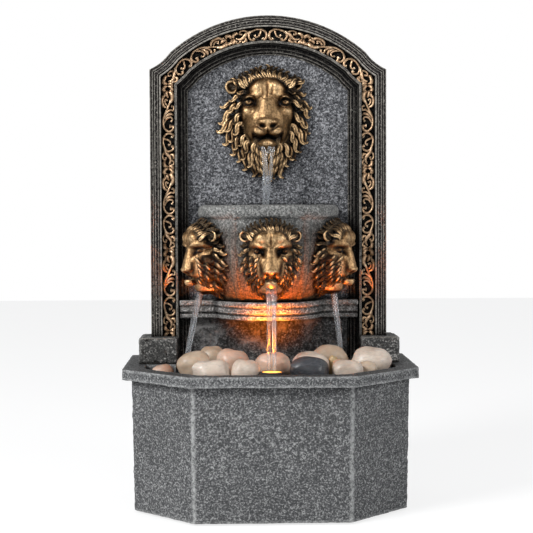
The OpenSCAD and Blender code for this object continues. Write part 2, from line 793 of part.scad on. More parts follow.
// Squared distance from the middle of an oval with half axes w and h, turned by some degrees.
function oval(x, z, cx, cz, w, h, turn = 0) = let (dx = x - cx, dz = z - cz)
    pow((dx * cos(turn) + dz * sin(turn)) / w, 2) + pow((dz * cos(turn) - dx * sin(turn)) / h, 2);

// A mound: its top, how far it falls at its oval's rim, and how flat it is.
function mound(d, top, fall, flat = 1.2) = top - fall * pow(d, flat);

// Several heights melted into one surface.
function melt(h, soft) = let (top = max(h), w = [for (x = h) exp((x - top) / soft)])
    top + soft * ln(w * [for (x = w) 1]);

// Heights of the large lion's face over the panel in mm, for a mask 95 mm wide; the nose is at 0, 0.
function skull_large(a, z) = melt([
    mound(oval(a, z, 0, 20, 26, 30), 21.5, 12, 1.4), // skull
    mound(oval(a, z, 9, 37, 11.5, 12), 25.6, 6), // forehead
    mound(oval(a, z, 13, 31.5, 12, 5, 14), 26.2, 5), // brow
    mound(oval(a, z, 19.5, 13.5, 9.5, 8, -30), 22.5, 6), // cheek
    mound(oval(a, z, 12, 4, 12.5, 15, 12), 26.5, 9), // side of the muzzle
    mound(oval(a, z, 17, -4, 10, 13), 19.5, 8), // jowl
    mound(oval(a, z, 0, -28, 15, 13), 17.5, 8)], 1.5) // chin
    - 6.6 * exp(-oval(a, z, 17.2, 23.2, 7.4, 4.8, -8));

function face_large(x, z) = let (a = abs(x))
    let (eyed = melt([skull_large(a, z), mound(oval(a, z, 17.6, 23.4, 5.2, 4.4), 21, 4.4)], 0.35))
    let (bridge = 26 + 0.33 * min(max(27 - z, -6), 24) - 5.5 * pow(a / 9.8, 3)
        - 0.1 * pow(max(z - 28, 0), 2) - 12 * ramp((2 - z) / 12))
    let (nosed = melt([eyed, bridge, mound(oval(a, z, 0, 2.6, 11.6, 5.4), 36.4, 5, 1.5),
        mound(oval(a, z, 0, -2.5, 6.6, 7.5), 36.2, 6, 1.5),
        mound(oval(a, z, 9.8, -6.2, 10.2, 8.6), 33.4, 8)], 0.9)
        - 2.2 * exp(-oval(a, z, 0, 37, 3, 11)) - 3 * exp(-oval(a, z, 5.8, -2, 2.8, 2)))
    let (lip = -11.2 - 0.78 * a + 0.056 * a * a)
    let (jaw = melt([mound(oval(a, z, 0, -20.8, 8.8, 4.2), 29, 8, 1.6),
        mound(oval(a, z, 0, -27, 15, 11), 18, 7)], 1))
    let (open = ramp((lip - z) / 2.5) * (1 - ramp((a - 15) / 4)))
    nosed + (min(nosed, jaw) - nosed) * open - 6.5 * exp(-oval(a, z, 0, -16, 10.5, 2))
    - 12 * pow(max(oval(a, z, 0, 9, 28, 38) - 0.9, 0), 1.2);

// The same for a head on the bowl, 58 mm wide, with a heavier brow and a longer nose.
function skull_small(a, z) = melt([
    mound(oval(a, z, 0, 22, 18.5, 21), 19.5, 11, 1.4), // skull
    mound(oval(a, z, 8.4, 30.5, 10, 11.5, 8), 28, 8), // forehead
    mound(oval(a, z, 7.5, 24.8, 8.5, 4, 20), 28.2, 5), // brow
    mound(oval(a, z, 14.2, 10.5, 6.5, 6.5, -25), 18.5, 6), // cheek
    mound(oval(a, z, 6.5, 5, 8, 13, 8), 24.5, 9), // side of the muzzle
    mound(oval(a, z, 11.5, -3, 6.5, 9), 15.5, 6), // jowl
    mound(oval(a, z, 0, -19, 10, 9), 13, 7)], 1) // chin
    - 6 * exp(-oval(a, z, 13, 18, 5.4, 3.5, 12));

function face_small(x, z) = let (a = abs(x))
    let (eyed = melt([skull_small(a, z), mound(oval(a, z, 13, 17.8, 3.9, 3.3), 18.8, 3.4)], 0.3))
    let (bridge = 24.4 + 0.37 * min(max(24 - z, -5), 21) - 4.2 * pow(a / 5.6, 3)
        - 0.14 * pow(max(z - 24, 0), 2) - 9 * ramp((1 - z) / 8))
    let (nosed = melt([eyed, bridge, mound(oval(a, z, 0, 1.6, 8.2, 3.8), 33.4, 4.5, 1.5),
        mound(oval(a, z, 6, -2.2, 6, 5), 28.6, 7)], 0.6)
        - 2.8 * exp(-oval(a, z, 0, 33, 1.9, 11)) - 3 * exp(-oval(a, z, 5, 20, 2.4, 3.4, -25)))
    let (lip = -6.4 - 0.4 * a + 0.06 * a * a)
    let (jaw = melt([mound(oval(a, z, 0, -13.2, 6.8, 2.9), 22, 6, 1.6),
        mound(oval(a, z, 0, -18, 10, 7), 13.5, 6)], 0.8))
    let (open = ramp((lip - z) / 1.8) * (1 - ramp((a - 10) / 3)))
    nosed + (min(nosed, jaw) - nosed) * open - 6.5 * exp(-oval(a, z, 0, -9.8, 7.6, 1.7))
    - 10 * pow(max(oval(a, z, 0, 11, 20.5, 30) - 0.9, 0), 1.2);

// Ear: a cup with a raised rim.
function ear(x, z, cx, cz, r) = let (d = sqrt(oval(abs(x), z, cx, cz, r, r * 0.85, 35)))
    exp(-pow((d - 0.75) * 2.4, 2)) - 0.35 * exp(-pow(d * 2.2, 2));

// Locks of the mane: q runs from the middle to the edge, t is the angle; 0 in a gap, 1 on a lock.
function lock(q, t) = let (swirl = 150 * (1 - q) * max(-1, min(1, 3 * cos(t))))
    pow(0.5 + 0.5 * cos(mane_locks * (t - 90) + swirl), 0.7);

// The mane is a low dome with two tiers of locks.
function mane(q, t, high) = mane_edge + (high - mane_edge) * sqrt(max(0, 1 - q * q))
    + high * 0.25 * (1 - ramp((q - 0.66 - 0.14 * lock(q, t)) * 9))
    + high * 0.5 * ramp((q - 0.35) * 3) * (lock(q, t) - 0.45);

// Height of a lion at one point of its outline's grid.
function lion_height(x, z, q, t, reach, small) =
    let (k = small ? head_scale : mask_scale, u = x / k)
    let (v = z / k + (small ? head_nose_drop : mask_nose_drop))
    let (face = small ? face_small(u, v) * reach / 33.5 : face_large(u, v) * reach / 36.6)
    let (cup = small ? ear(u, v, 26.5, 25.5, 5.5) : ear(u, v, 34.5, 42, 7.5))
    let (brink = small ? oval(u, v, 0, 11, 20.5, 30) : oval(u, v, 0, 9, 28, 38))
    let (groove = reach * 0.12 * exp(-pow((sqrt(brink) - 1.08) * 9, 2)))
    max(mane_edge, max(face, mane(q, t, reach * 0.4)) - groove, mane_edge + reach * 0.42 * cup);

// Outline of the mane: every lock ends in a tip, and the ears stand out of it.
function wavy(q, t, small) = let (off = atan2(sin(t), abs(cos(t))) - (small ? 21 : 45))
    1 + q * (0.055 * cos(mane_locks * (t - 90)) + 0.13 * exp(-pow(off / 8, 2)));

// Distance of the bowl's face from its axis at one point behind a head.
function lion_back(x, z) = sqrt(max(0, pow(bowl_line(z + head_height), 2) - x * x));

// A lion's mask over a flat back; local X to the side, local Y up, local Z outwards.
module lion_solid(wide, tall, reach, small) {
    n = small ? 32 : 44;
    m = small ? 40 : 52;
    back = small ? bowl_foot - 16 : 0;
    grid = [for (j = [0:m], i = [0:n]) let (u = 2 * i / n - 1, v = 2 * j / m - 1)
        let (a = u * sqrt(1 - v * v / 2), b = v * sqrt(1 - u * u / 2))
        let (q = norm([a, b]), t = atan2(b, a), w = wavy(q, t, small), x = wide * w * a, z = tall * w * b)
        [x, z, (small ? lion_back(x, z) : 0) + lion_height(x, z, q, t, reach, small)]];
    function at(i, j) = j * (n + 1) + i;
    rim = [for (i = [0:n - 1]) at(i, 0), for (j = [0:m - 1]) at(n, j),
        for (i = [n:-1:1]) at(i, m), for (j = [m:-1:1]) at(0, j)];
    base = len(grid);
    c = len(rim);
    polyhedron(
        points = [each grid, for (k = rim) [grid[k][0], grid[k][1], back]],
        faces = [
            for (j = [0:m - 1], i = [0:n - 1]) each i < n / 2
                ? [[at(i, j), at(i, j + 1), at(i + 1, j + 1)], [at(i, j), at(i + 1, j + 1), at(i + 1, j)]]
                : [[at(i, j), at(i, j + 1), at(i + 1, j)], [at(i, j + 1), at(i + 1, j + 1), at(i + 1, j)]],
            for (k = [0:c - 1]) [rim[k], rim[(k + 1) % c], base + (k + 1) % c, base + k],
            [for (k = [0:c - 1]) base + k]]);
}

module lion_top() {
    color([0.70, 0.54, 0.30]) translate([0, panel_front, mask_height]) rotate([90, 0, 0])
        difference() {
            lion_solid(mask_half_width, mask_half_height, mask_reach, false);
            translate([0, spout_z - mask_height, -1])
                cylinder(r = spout_radius + pipe_gap, h = panel_front - spout_tip + 1.5, $fn = 32);
        }
}

// The bowl's body with a gap round it.
function bowl_clear() = [[0, shelf_top], for (k = [0:bowl_steps])
    let (z = shelf_top + (lip_low + 3 - shelf_top) * (1 - cos(90 * k / bowl_steps)))
    [bowl_line(min(z, lip_low)) + head_gap, z], [0, lip_low + 3]];

// A head that follows the bowl and ends at the panel.
module lion_head(angle) {
    color([0.70, 0.54, 0.30]) difference() {
        translate([0, panel_front, head_height]) rotate([0, 0, angle]) rotate([90, 0, 0])
            lion_solid(head_half_width, head_half_height, head_reach, true);
        translate([0, panel_front, outlet_z]) rotate([0, 0, angle]) translate([0, -30, 0])
            rotate([90, 0, 0]) cylinder(r = outlet_radius + pipe_gap, h = outlet_tip + head_reach, $fn = 32);
        translate([0, panel_front, 0]) rotate_extrude($fn = 180) polygon(bowl_clear());
        translate([-2 * bowl_radius, panel_front - head_gap, 0])
            cube([4 * bowl_radius, 2 * bowl_radius, bowl_top + 100]);
    }
}

module lion_centre() {
    lion_head(0);
}

module lion_left() {
    lion_head(-head_angle);
}

module lion_right() {
    lion_head(head_angle);
}

// Pipes and hose

module bend(r) {
    translate([0, pump_back - bend_radius, spout_z - bend_radius]) rotate([0, 90, 0])
        rotate([0, 0, 90]) rotate_extrude(angle = 90, $fn = 64)
            translate([bend_radius, 0]) circle(r = r, $fn = 48);
}

module top_spout() {
    leg = hose_top - 14;
    color([0.20, 0.20, 0.21]) difference() {
        union() {
            translate([0, pump_back - bend_radius, spout_z]) rotate([90, 0, 0])
                cylinder(r = spout_radius, h = pump_back - bend_radius - spout_tip, $fn = 48);
            bend(spout_radius);
            translate([0, pump_back, leg])
                cylinder(r = spout_radius, h = spout_z - bend_radius - leg, $fn = 48);
        }
        translate([0, pump_back - bend_radius, spout_z]) rotate([90, 0, 0])
            cylinder(r = spout_bore, h = pump_back - bend_radius - spout_tip + 1, $fn = 48);
        bend(spout_bore);
        translate([0, pump_back, leg - 1])
            cylinder(r = spout_bore, h = spout_z - bend_radius - leg + 1, $fn = 48);
    }
}

module bowl_spouts() {
    start = bowl_line(outlet_z) - bowl_wall - 4;
    color([0.20, 0.20, 0.21]) for (a = [-head_angle, 0, head_angle])
        translate([0, panel_front, outlet_z]) rotate([0, 0, a]) translate([0, -start, 0])
            rotate([90, 0, 0]) pipe(outlet_radius, outlet_bore, outlet_tip - start);
}

module riser_hose() {
    color([0.85, 0.87, 0.88, 0.8]) translate([0, pump_back, hose_start])
        pipe(hose_radius, hose_bore, hose_top - hose_start);
}

module hose_clamps() {
    inner = hose_radius + 0.3;
    color([0.60, 0.61, 0.63]) for (z = [hose_start + 2, hose_top - clamp_height - 2])
        translate([0, pump_back, z]) difference() {
            union() {
                cylinder(r = inner + clamp_thickness, h = clamp_height, $fn = 64);
                translate([inner, -3, 0]) cube([5, 6, clamp_height]);
            }
            translate([0, 0, -1]) cylinder(r = inner, h = clamp_height + 2, $fn = 64);
            translate([inner + 1.4, -1, -1]) cube([5, 2, clamp_height + 2]);
        }
}

// Pump: the rotor's axis lies along X

module along_x(x) {
    translate([x, pump_back, rotor_height]) rotate([0, 90, 0]) children();
}

module pump_body() {
    r = 4;
    core = pump_core_line(0.3);
    color([0.07, 0.07, 0.08]) difference() {
        translate([pump_left, 0, 0]) rotate([90, 0, 90]) linear_extrude(height = pump_length)
            polygon(round_line(pump_line(0), r, 4));
        difference() {
            translate([pump_left + 5, 0, 0]) rotate([90, 0, 90])
                linear_extrude(height = pump_length) polygon(core);
            along_x(pump_left) cylinder(r = well_radius + 1.8, h = well_end + 6 - pump_left, $fn = 64);
        }
        along_x(pump_left - 1) cylinder(r = well_radius, h = well_end - pump_left + 1, $fn = 64);
        along_x(well_end - 1) cylinder(r = bush_radius + 0.02, h = bush_length + 1, $fn = 48);
    }
}

function pump_line(i) = [[pump_back - pump_half_width + i, rotor_height - pump_half_height + i],
    [pump_back + pump_half_width - i, rotor_height - pump_half_height + i],
    [pump_back + pump_half_width - i, rotor_height + pump_half_height - i],
    [pump_back - pump_half_width + i, rotor_height + pump_half_height - i]];

function pump_core_line(gap) = pump_line(3.3 - gap);

module pump_core() {
    color([0.35, 0.20, 0.10]) difference() {
        translate([pump_left + 5.3, 0, 0]) rotate([90, 0, 90])
            linear_extrude(height = pump_length - 8.6) polygon(pump_core_line(-0.3));
        along_x(pump_left) cylinder(r = well_radius + 2.1, h = pump_length, $fn = 64);
    }
}

module pump_end_cap() {
    color([0.09, 0.09, 0.10]) difference() {
        union() {
            translate([pump_right, 0, 0]) rotate([90, 0, 90]) linear_extrude(height = 2.5)
                polygon(round_line(pump_line(0), 4, 4));
            translate([pump_right - 2.5, 0, 0]) rotate([90, 0, 90]) linear_extrude(height = 3)
                polygon(pump_core_line(-0.3));
        }
        translate([pump_right - 4, pump_back, rotor_height + 9]) rotate([0, 90, 0])
            cylinder(r = 2.6, h = 10, $fn = 32);
    }
}

module pump_gland() {
    color([0.05, 0.05, 0.05]) translate([pump_right - 2.5, pump_back, rotor_height + 9])
        rotate([0, 90, 0]) difference() {
            union() {
                cylinder(r = 2.3, h = 6, $fn = 32);
                translate([0, 0, 5.3]) cylinder(r = 4.2, h = 3, $fn = 32);
                translate([0, 0, 5.3]) cylinder(r1 = 4, r2 = 2.6, h = 9, $fn = 32);
            }
            translate([0, 0, -1]) cylinder(r = 1.4, h = 20, $fn = 32);
        }
}

module pump_volute() {
    l = volute_half_length;
    color([0.08, 0.08, 0.09]) {
        difference() {
            union() {
                along_x(-l - collar_length) cylinder(r = volute_outer, h = 2 * l + collar_length, $fn = 96);
                translate([0, pump_back, nipple_low])
                    cylinder(r = spout_radius, h = nipple_top - nipple_low, $fn = 48);
                translate([0, pump_back, nipple_low])
                    cylinder(r = spout_radius + 1.6, h = volute_outer - chamber_radius + 4, $fn = 48);
            }
            along_x(-l + 2) cylinder(r = chamber_radius, h = 2 * l, $fn = 96);
            along_x(-l - collar_length - 1)
                cylinder(r = chamber_radius + 0.6, h = collar_length + 1, $fn = 96);
            along_x(-l - 1) cylinder(r = 9, h = 5, $fn = 48);
            along_x(l - seal_depth) cylinder(r = chamber_radius + 1.6, h = 5, $fn = 96);
            translate([0, pump_back, nipple_low - 3]) cylinder(r = spout_bore, h = 60, $fn = 48);
        }
        along_x(-l) difference() {
            union() {
                cylinder(r = bush_radius + 1.5, h = 1.5 + bush_length, $fn = 48);
                for (t = [0, 120, 240]) rotate([0, 0, t]) translate([-1, 0, 0]) cube([2, 9.6, 2]);
            }
            translate([0, 0, 1.5]) cylinder(r = bush_radius + 0.02, h = bush_length + 2, $fn = 48);
        }
    }
}

module pump_seal() {
    color([0.30, 0.08, 0.06]) along_x(volute_half_length - seal_depth)
        pipe(chamber_radius + 1.3, chamber_radius + 0.1, seal_depth);
}

module pump_rotor() {
    color([0.75, 0.76, 0.78]) difference() {
        union() {
            along_x(magnet_start) cylinder(r = magnet_radius, h = magnet_end - magnet_start, $fn = 64);
            along_x(hub_start) cylinder(r = 4, h = magnet_start - hub_start + 1, $fn = 48);
            along_x(4) cylinder(r = chamber_radius - 1.5, h = 1.6, $fn = 64);
            for (t = [0:60:300]) along_x(hub_start + 0.4) rotate([0, 0, t]) translate([-0.6, 3, 0])
                cube([1.2, chamber_radius - 4.5, 5]);
        }
        along_x(-10) cylinder(r = shaft_radius + shaft_gap, h = 80, $fn = 48);
    }
}

module pump_shaft() {
    color([0.90, 0.90, 0.88]) along_x(shaft_start)
        cylinder(r = shaft_radius, h = shaft_end - shaft_start, $fn = 48);
}

module pump_bushes() {
    color([0.03, 0.03, 0.03]) {
        along_x(bush_start) pipe(bush_radius, shaft_radius + 0.01, bush_length);
        along_x(well_end) pipe(bush_radius, shaft_radius + 0.01, bush_length);
    }
}

module intake_cover() {
    w = intake_wall;
    inner = volute_outer + 0.3;
    color([0.09, 0.09, 0.10]) difference() {
        along_x(intake_left) cylinder(r = volute_outer + 0.3 + w, h = intake_length, $fn = 96);
        along_x(intake_left + w) cylinder(r = inner, h = intake_length, $fn = 96);
        for (k = [-2:2]) translate([intake_left + w + 3, pump_back - 40, rotor_height + k * 4.6 - 1.1])
            cube([7, 80, 2.2]);
        for (k = [-3, 3]) along_x(intake_left - 1) translate([k * 3.6, 0, 0])
            cylinder(r = 1.6, h = 6, $fn = 24);
        along_x(intake_left - 1) cylinder(r = 3 + 0.05, h = 6, $fn = 48);
    }
}

module flow_dial() {
    color([0.16, 0.16, 0.17]) difference() {
        union() {
            along_x(intake_left - 3) cylinder(r = dial_radius, h = 2.7, $fn = 64);
            along_x(intake_left - 1) cylinder(r = 3, h = intake_wall + 2, $fn = 48);
            along_x(intake_left + intake_wall + 0.3) cylinder(r = 4.4, h = 1.6, $fn = 48);
            translate([intake_left - 5, pump_back - 1.4, rotor_height - dial_radius + 1])
                cube([3, 2.8, 2 * dial_radius - 2]);
        }
        for (t = [45, 225]) along_x(intake_left - 6) rotate([0, 0, t])
            translate([6, 0, 0]) cylinder(r = 1.6, h = 5, $fn = 24);
    }
}

module suction_cups() {
    top = rotor_height - pump_half_height;
    color([0.12, 0.12, 0.12]) for (x = [pump_left + 8, pump_right - 8], s = [-1, 1])
        translate([x, pump_back + s * 9, floor_top]) {
            cylinder(r1 = cup_radius, r2 = 2.5, h = 3.5, $fn = 40);
            cylinder(r = 2.2, h = top - floor_top, $fn = 32);
        }
}

// Lamp

module led_housing() {
    color([0.10, 0.10, 0.11]) translate([0, -lamp_front, lamp_base]) difference() {
        cylinder(r = lamp_radius, h = lamp_height, $fn = 64);
        translate([0, 0, lamp_wall + 1]) cylinder(r = lamp_radius - lamp_wall - 1, h = 20, $fn = 64);
        translate([0, 0, lamp_height - 3]) cylinder(r = lamp_radius - lamp_wall, h = 4, $fn = 64);
        translate([0, 0, 5]) rotate([90, 0, 0]) cylinder(r = 1.5, h = 40, $fn = 24);
    }
}

module led_board() {
    color([0.85, 0.85, 0.80]) translate([0, -lamp_front, lamp_base + lamp_wall + 1]) {
        cylinder(r = lamp_radius - lamp_wall - 1.3, h = 1.6, $fn = 48);
        for (t = [0, 120, 240]) rotate([0, 0, t]) translate([4, 0, 1.6])
            cylinder(r = 1.8, h = 1.6, $fn = 24);
    }
}

module led_lens() {
    color([1.0, 0.72, 0.25, 0.7]) translate([0, -lamp_front, lamp_top - 3])
        cylinder(r = lamp_radius - lamp_wall - 0.3, h = 2.6, $fn = 64);
}

module led_gland() {
    color([0.05, 0.05, 0.05]) translate([0, -lamp_front - lamp_radius - 0.3, lamp_base + 5])
        rotate([90, 0, 0]) cylinder(r = 2.5, h = 3, $fn = 24);
}

basin();
basin_feet();
pebble_tray();
pebbles_white();
pebbles_tan();
pebbles_pink();
pebble_yellow();
pebble_black();
wall_casting();
rear_cover();
rear_cover_screws();
scroll_left();
scroll_right();
scroll_arch();
shelf_moulding();
bowl();
lion_top();
lion_centre();
lion_left();
lion_right();
top_spout();
bowl_spouts();
riser_hose();
hose_clamps();
pump_body();
pump_core();
pump_end_cap();
pump_gland();
pump_volute();
pump_seal();
pump_rotor();
pump_shaft();
pump_bushes();
intake_cover();
flow_dial();
suction_cups();
led_housing();
led_board();
led_lens();
led_gland();
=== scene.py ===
# %% [markdown]
# # A tabletop wall fountain with lion masks
# The fountain is a cast basin with an arched wall, gilt lion masks and running water. Its exact
# solids come packed as a fixed frame, and this lesson dresses them: stone that is stippled and
# dry-brushed, gilded lions made lock by lock, polished pebbles, water and a small warm lamp.

import json
import math
import random

import bmesh
import bpy
import numpy as np
from mathutils import Matrix, Vector, noise


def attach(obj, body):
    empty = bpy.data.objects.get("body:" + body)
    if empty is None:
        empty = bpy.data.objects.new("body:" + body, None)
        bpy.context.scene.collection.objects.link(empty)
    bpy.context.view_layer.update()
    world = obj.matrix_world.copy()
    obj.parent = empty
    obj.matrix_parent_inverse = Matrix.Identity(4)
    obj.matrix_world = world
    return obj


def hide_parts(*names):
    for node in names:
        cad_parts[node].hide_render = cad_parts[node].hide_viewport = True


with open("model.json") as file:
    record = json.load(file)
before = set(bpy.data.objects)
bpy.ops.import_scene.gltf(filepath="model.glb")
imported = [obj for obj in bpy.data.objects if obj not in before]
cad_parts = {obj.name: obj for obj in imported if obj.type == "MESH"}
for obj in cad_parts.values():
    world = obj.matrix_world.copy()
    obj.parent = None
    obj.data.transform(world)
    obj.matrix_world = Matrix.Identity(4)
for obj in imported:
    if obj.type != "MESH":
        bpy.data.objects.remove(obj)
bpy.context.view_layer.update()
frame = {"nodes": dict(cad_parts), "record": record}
solids = frame["nodes"]
MM = 0.001
print("solids in the frame:", len(solids))

# %% [markdown]
# The camera comes first. Its place was worked out from the outline of the real fountain: a long
# lens about 1.3 m away, a little left of the middle and looking down by two and a half degrees.

# %% Camera
def aim_camera(place_mm, yaw, pitch, roll, lens):
    """A camera at a place, turned by yaw, tipped down by pitch and rolled, all in radians."""
    flat_right = Vector((math.cos(yaw), -math.sin(yaw), 0))
    flat_ahead = Vector((math.sin(yaw), math.cos(yaw), 0))
    up = Vector((0, 0, 1))
    ahead = flat_ahead * math.cos(pitch) - up * math.sin(pitch)
    tall = up * math.cos(pitch) + flat_ahead * math.sin(pitch)
    right = flat_right * math.cos(roll) + tall * math.sin(roll)
    head = tall * math.cos(roll) - flat_right * math.sin(roll)
    turn = Matrix((right, head, -ahead)).transposed().to_4x4()
    data = bpy.data.cameras.new("camera")
    data.lens = lens
    data.sensor_width = 36
    data.clip_end = 20
    camera = bpy.data.objects.new("camera", data)
    camera.matrix_world = Matrix.Translation(Vector(place_mm) * MM) @ turn
    bpy.context.scene.collection.objects.link(camera)
    bpy.context.scene.camera = camera
    return camera


camera = aim_camera((-35.77, -1253.26, 286.44), yaw=0.02612, pitch=0.04176, roll=-0.00422, lens=87.01)
print("camera at", [round(v, 3) for v in camera.location])

# %% [markdown]
# Every finish below is a tree of nodes. Four small helpers keep those trees readable: one adds a
# node, one feeds an input with a number, a colour or another node's output, one sets several
# inputs by their names, and one starts a new material and hands over its tree and its shader.

# %% Node helpers
def add(tree, kind, **settings):
    """A new node of a kind, with some of its settings."""
    node = tree.nodes.new(kind)
    for key, value in settings.items():
        setattr(node, key, value)
    return node


def feed(tree, socket, value):
    """Links an output to the socket, or sets the socket to a number or a colour."""
    if isinstance(value, bpy.types.NodeSocket):
        tree.links.new(value, socket)
    elif isinstance(value, tuple):
        socket.default_value = (*value, 1)
    else:
        socket.default_value = value


def set_inputs(node, values):
    """Sets several inputs of one node, each by its name."""
    for key, value in values.items():
        node.inputs[key].default_value = value


def new_skin(name):
    """A new material, its tree and the shader in it."""
    skin = bpy.data.materials.new(name)
    skin.use_nodes = True
    return skin, skin.node_tree, skin.node_tree.nodes["Principled BSDF"]


print("node helpers ready")

# %% [markdown]
# ## Floor, light and background
# A plain pale floor takes the shadow, and the background is white. One large soft lamp stands at
# the upper left, a weaker one at the right, and the world fills the shadows.

# %% Floor
scene = bpy.context.scene
scene.view_settings.view_transform = "Standard"


def mixed(tree, factor, low, high):
    """Two shaders mixed by a factor."""
    node = add(tree, "ShaderNodeMixShader")
    for socket, value in zip(node.inputs, (factor, low, high)):
        tree.links.new(value, socket)
    return node.outputs[0]


def pale_floor(seen_white=0.72, glow=1.08):
    """A floor that takes the shadow and is lifted towards white where the camera sees it."""
    shape = bmesh.new()
    bmesh.ops.create_grid(shape, x_segments=1, y_segments=1, size=3)
    mesh = bpy.data.meshes.new("floor")
    shape.to_mesh(mesh)
    shape.free()
    floor = bpy.data.objects.new("floor", mesh)
    scene.collection.objects.link(floor)
    skin, tree, shader = new_skin("pale_floor")
    set_inputs(shader, {"Base Color": (0.93, 0.93, 0.93, 1), "Roughness": 0.6})
    share = add(tree, "ShaderNodeMath", operation="MULTIPLY")
    feed(tree, share.inputs[0], add(tree, "ShaderNodeLightPath").outputs["Is Camera Ray"])
    feed(tree, share.inputs[1], seen_white)
    white = add(tree, "ShaderNodeEmission")
    set_inputs(white, {"Color": (1, 1, 1, 1), "Strength": glow})
    look = mixed(tree, share.outputs[0], shader.outputs[0], white.outputs[0])
    tree.links.new(look, tree.nodes["Material Output"].inputs["Surface"])
    mesh.materials.append(skin)
    return floor


floor = pale_floor()
print("floor faces:", len(floor.data.polygons))

# %% [markdown]
# The world is what the camera sees behind the fountain and what glossy gilding mirrors. It could be
# a picture of a studio; here it is plain white for the camera and a dimmer grey as light, because
# white light from all round would wash the relief out.

# %% World and lamps
def shine(tree, strength, colour):
    """Even light of one strength and colour from all round."""
    node = add(tree, "ShaderNodeBackground")
    set_inputs(node, {"Color": (*colour, 1), "Strength": strength})
    return node.outputs[0]


def white_world(fill, front):
    """White for the camera and behind the fountain; grey as light and as the room in front of it."""
    world = bpy.data.worlds.new("studio")
    scene.world = world
    world.use_nodes = True
    tree = world.node_tree
    tree.nodes.clear()
    path = add(tree, "ShaderNodeLightPath").outputs
    split = add(tree, "ShaderNodeSeparateXYZ")
    feed(tree, split.inputs[0], add(tree, "ShaderNodeTexCoord").outputs["Generated"])
    back = add(tree, "ShaderNodeMapRange")
    set_inputs(back, {"From Min": -0.25, "From Max": 0.35})
    feed(tree, back.inputs["Value"], split.outputs["Y"])
    seen = add(tree, "ShaderNodeMath", operation="MAXIMUM")
    feed(tree, seen.inputs[0], path["Is Camera Ray"])
    feed(tree, seen.inputs[1], path["Is Transmission Ray"])
    white = shine(tree, 1.0, (1, 1, 1))
    room = mixed(tree, back.outputs[0], shine(tree, front, (0.95, 0.97, 1)), white)
    light = mixed(tree, path["Is Glossy Ray"], shine(tree, fill, (0.92, 0.95, 1)), room)
    out = add(tree, "ShaderNodeOutputWorld")
    feed(tree, out.inputs["Surface"], mixed(tree, seen.outputs[0], light, white))


MIDDLE = (0, 0, 0.25)   # the fountain's middle, in metres


def area_lamp(name, place, size, power):
    """A round soft lamp, in metres and watts, that looks at the fountain's middle."""
    data = bpy.data.lights.new(name, "AREA")
    data.shape = "DISK"
    data.size = size
    data.energy = power
    lamp = bpy.data.objects.new(name, data)
    lamp.location = place
    lamp.rotation_euler = (Vector(MIDDLE) - Vector(place)).to_track_quat("-Z", "Y").to_euler()
    scene.collection.objects.link(lamp)
    return lamp


white_world(fill=0.36, front=0.22)
key_lamp = area_lamp("key_lamp", (-1.25, -1.05, 1.15), size=0.55, power=36)
side_lamp = area_lamp("side_lamp", (1.1, -0.8, 0.7), size=0.6, power=8)
print("lamps:", key_lamp.data.energy, side_lamp.data.energy)

# %% [markdown]
# ## Making pieces
# Every piece starts as a bmesh or as a set of curves, becomes one mesh object at the origin, gets
# its finish, and rides on the fountain's body. Sizes are written in millimetres and turned into
# metres at the very end, because the frame is in metres.

# %% From a bmesh to a piece
def finish_piece(name, mesh, skin, replaces=(), body="fountain"):
    """One mesh as a finished piece: its skin, its body and the solids it stands for."""
    piece = bpy.data.objects.new(name, mesh)
    bpy.context.scene.collection.objects.link(piece)
    mesh.materials.clear()
    mesh.materials.append(skin)
    mesh.shade_smooth()
    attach(piece, body)
    if replaces:
        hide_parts(*replaces)
    return piece


def piece_from(name, shape, skin, replaces=()):
    """A bmesh in millimetres as a finished piece in metres."""
    bmesh.ops.recalc_face_normals(shape, faces=shape.faces)
    bmesh.ops.transform(shape, matrix=Matrix.Scale(MM, 4), verts=shape.verts)
    mesh = bpy.data.meshes.new(name)
    shape.to_mesh(mesh)
    shape.free()
    return finish_piece(name, mesh, skin, replaces)


def shown_mesh(name, data, modifiers=()):
    """The mesh that a curve or a mesh shows once some modifiers, (kind, settings) each, have run."""
    holder = bpy.data.objects.new(name, data)
    bpy.context.scene.collection.objects.link(holder)
    for kind, settings in modifiers:
        modifier = holder.modifiers.new(kind.lower(), kind)
        for key, value in settings.items():
            setattr(modifier, key, value)
    shown = holder.evaluated_get(bpy.context.evaluated_depsgraph_get())
    mesh = bpy.data.meshes.new_from_object(shown)
    bpy.data.objects.remove(holder)
    return mesh


def hills(place, size, depth=3):
    """Layered soft noise from about -1 to 1 whose largest hills are size across."""
    return noise.fractal(Vector(place) / size, 1.0, 2.0, depth, noise_basis="PERLIN_ORIGINAL")


print("piece helpers ready")

# %% [markdown]
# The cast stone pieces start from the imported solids: a copy is merged, turned into an even skin of
# small faces by a remesh, and each point is then pushed in or out by noise. That wears the edges
# and gives the rough, hand-finished faces that a cast stone has. The height of the small noise is
# stored as an attribute, so that the paint can find the same crumbs later.

# %% Rough stone skin from a solid
LUMP_MM, CRUMB_MM, CHIP_MM = 11.0, 3.4, 6.0


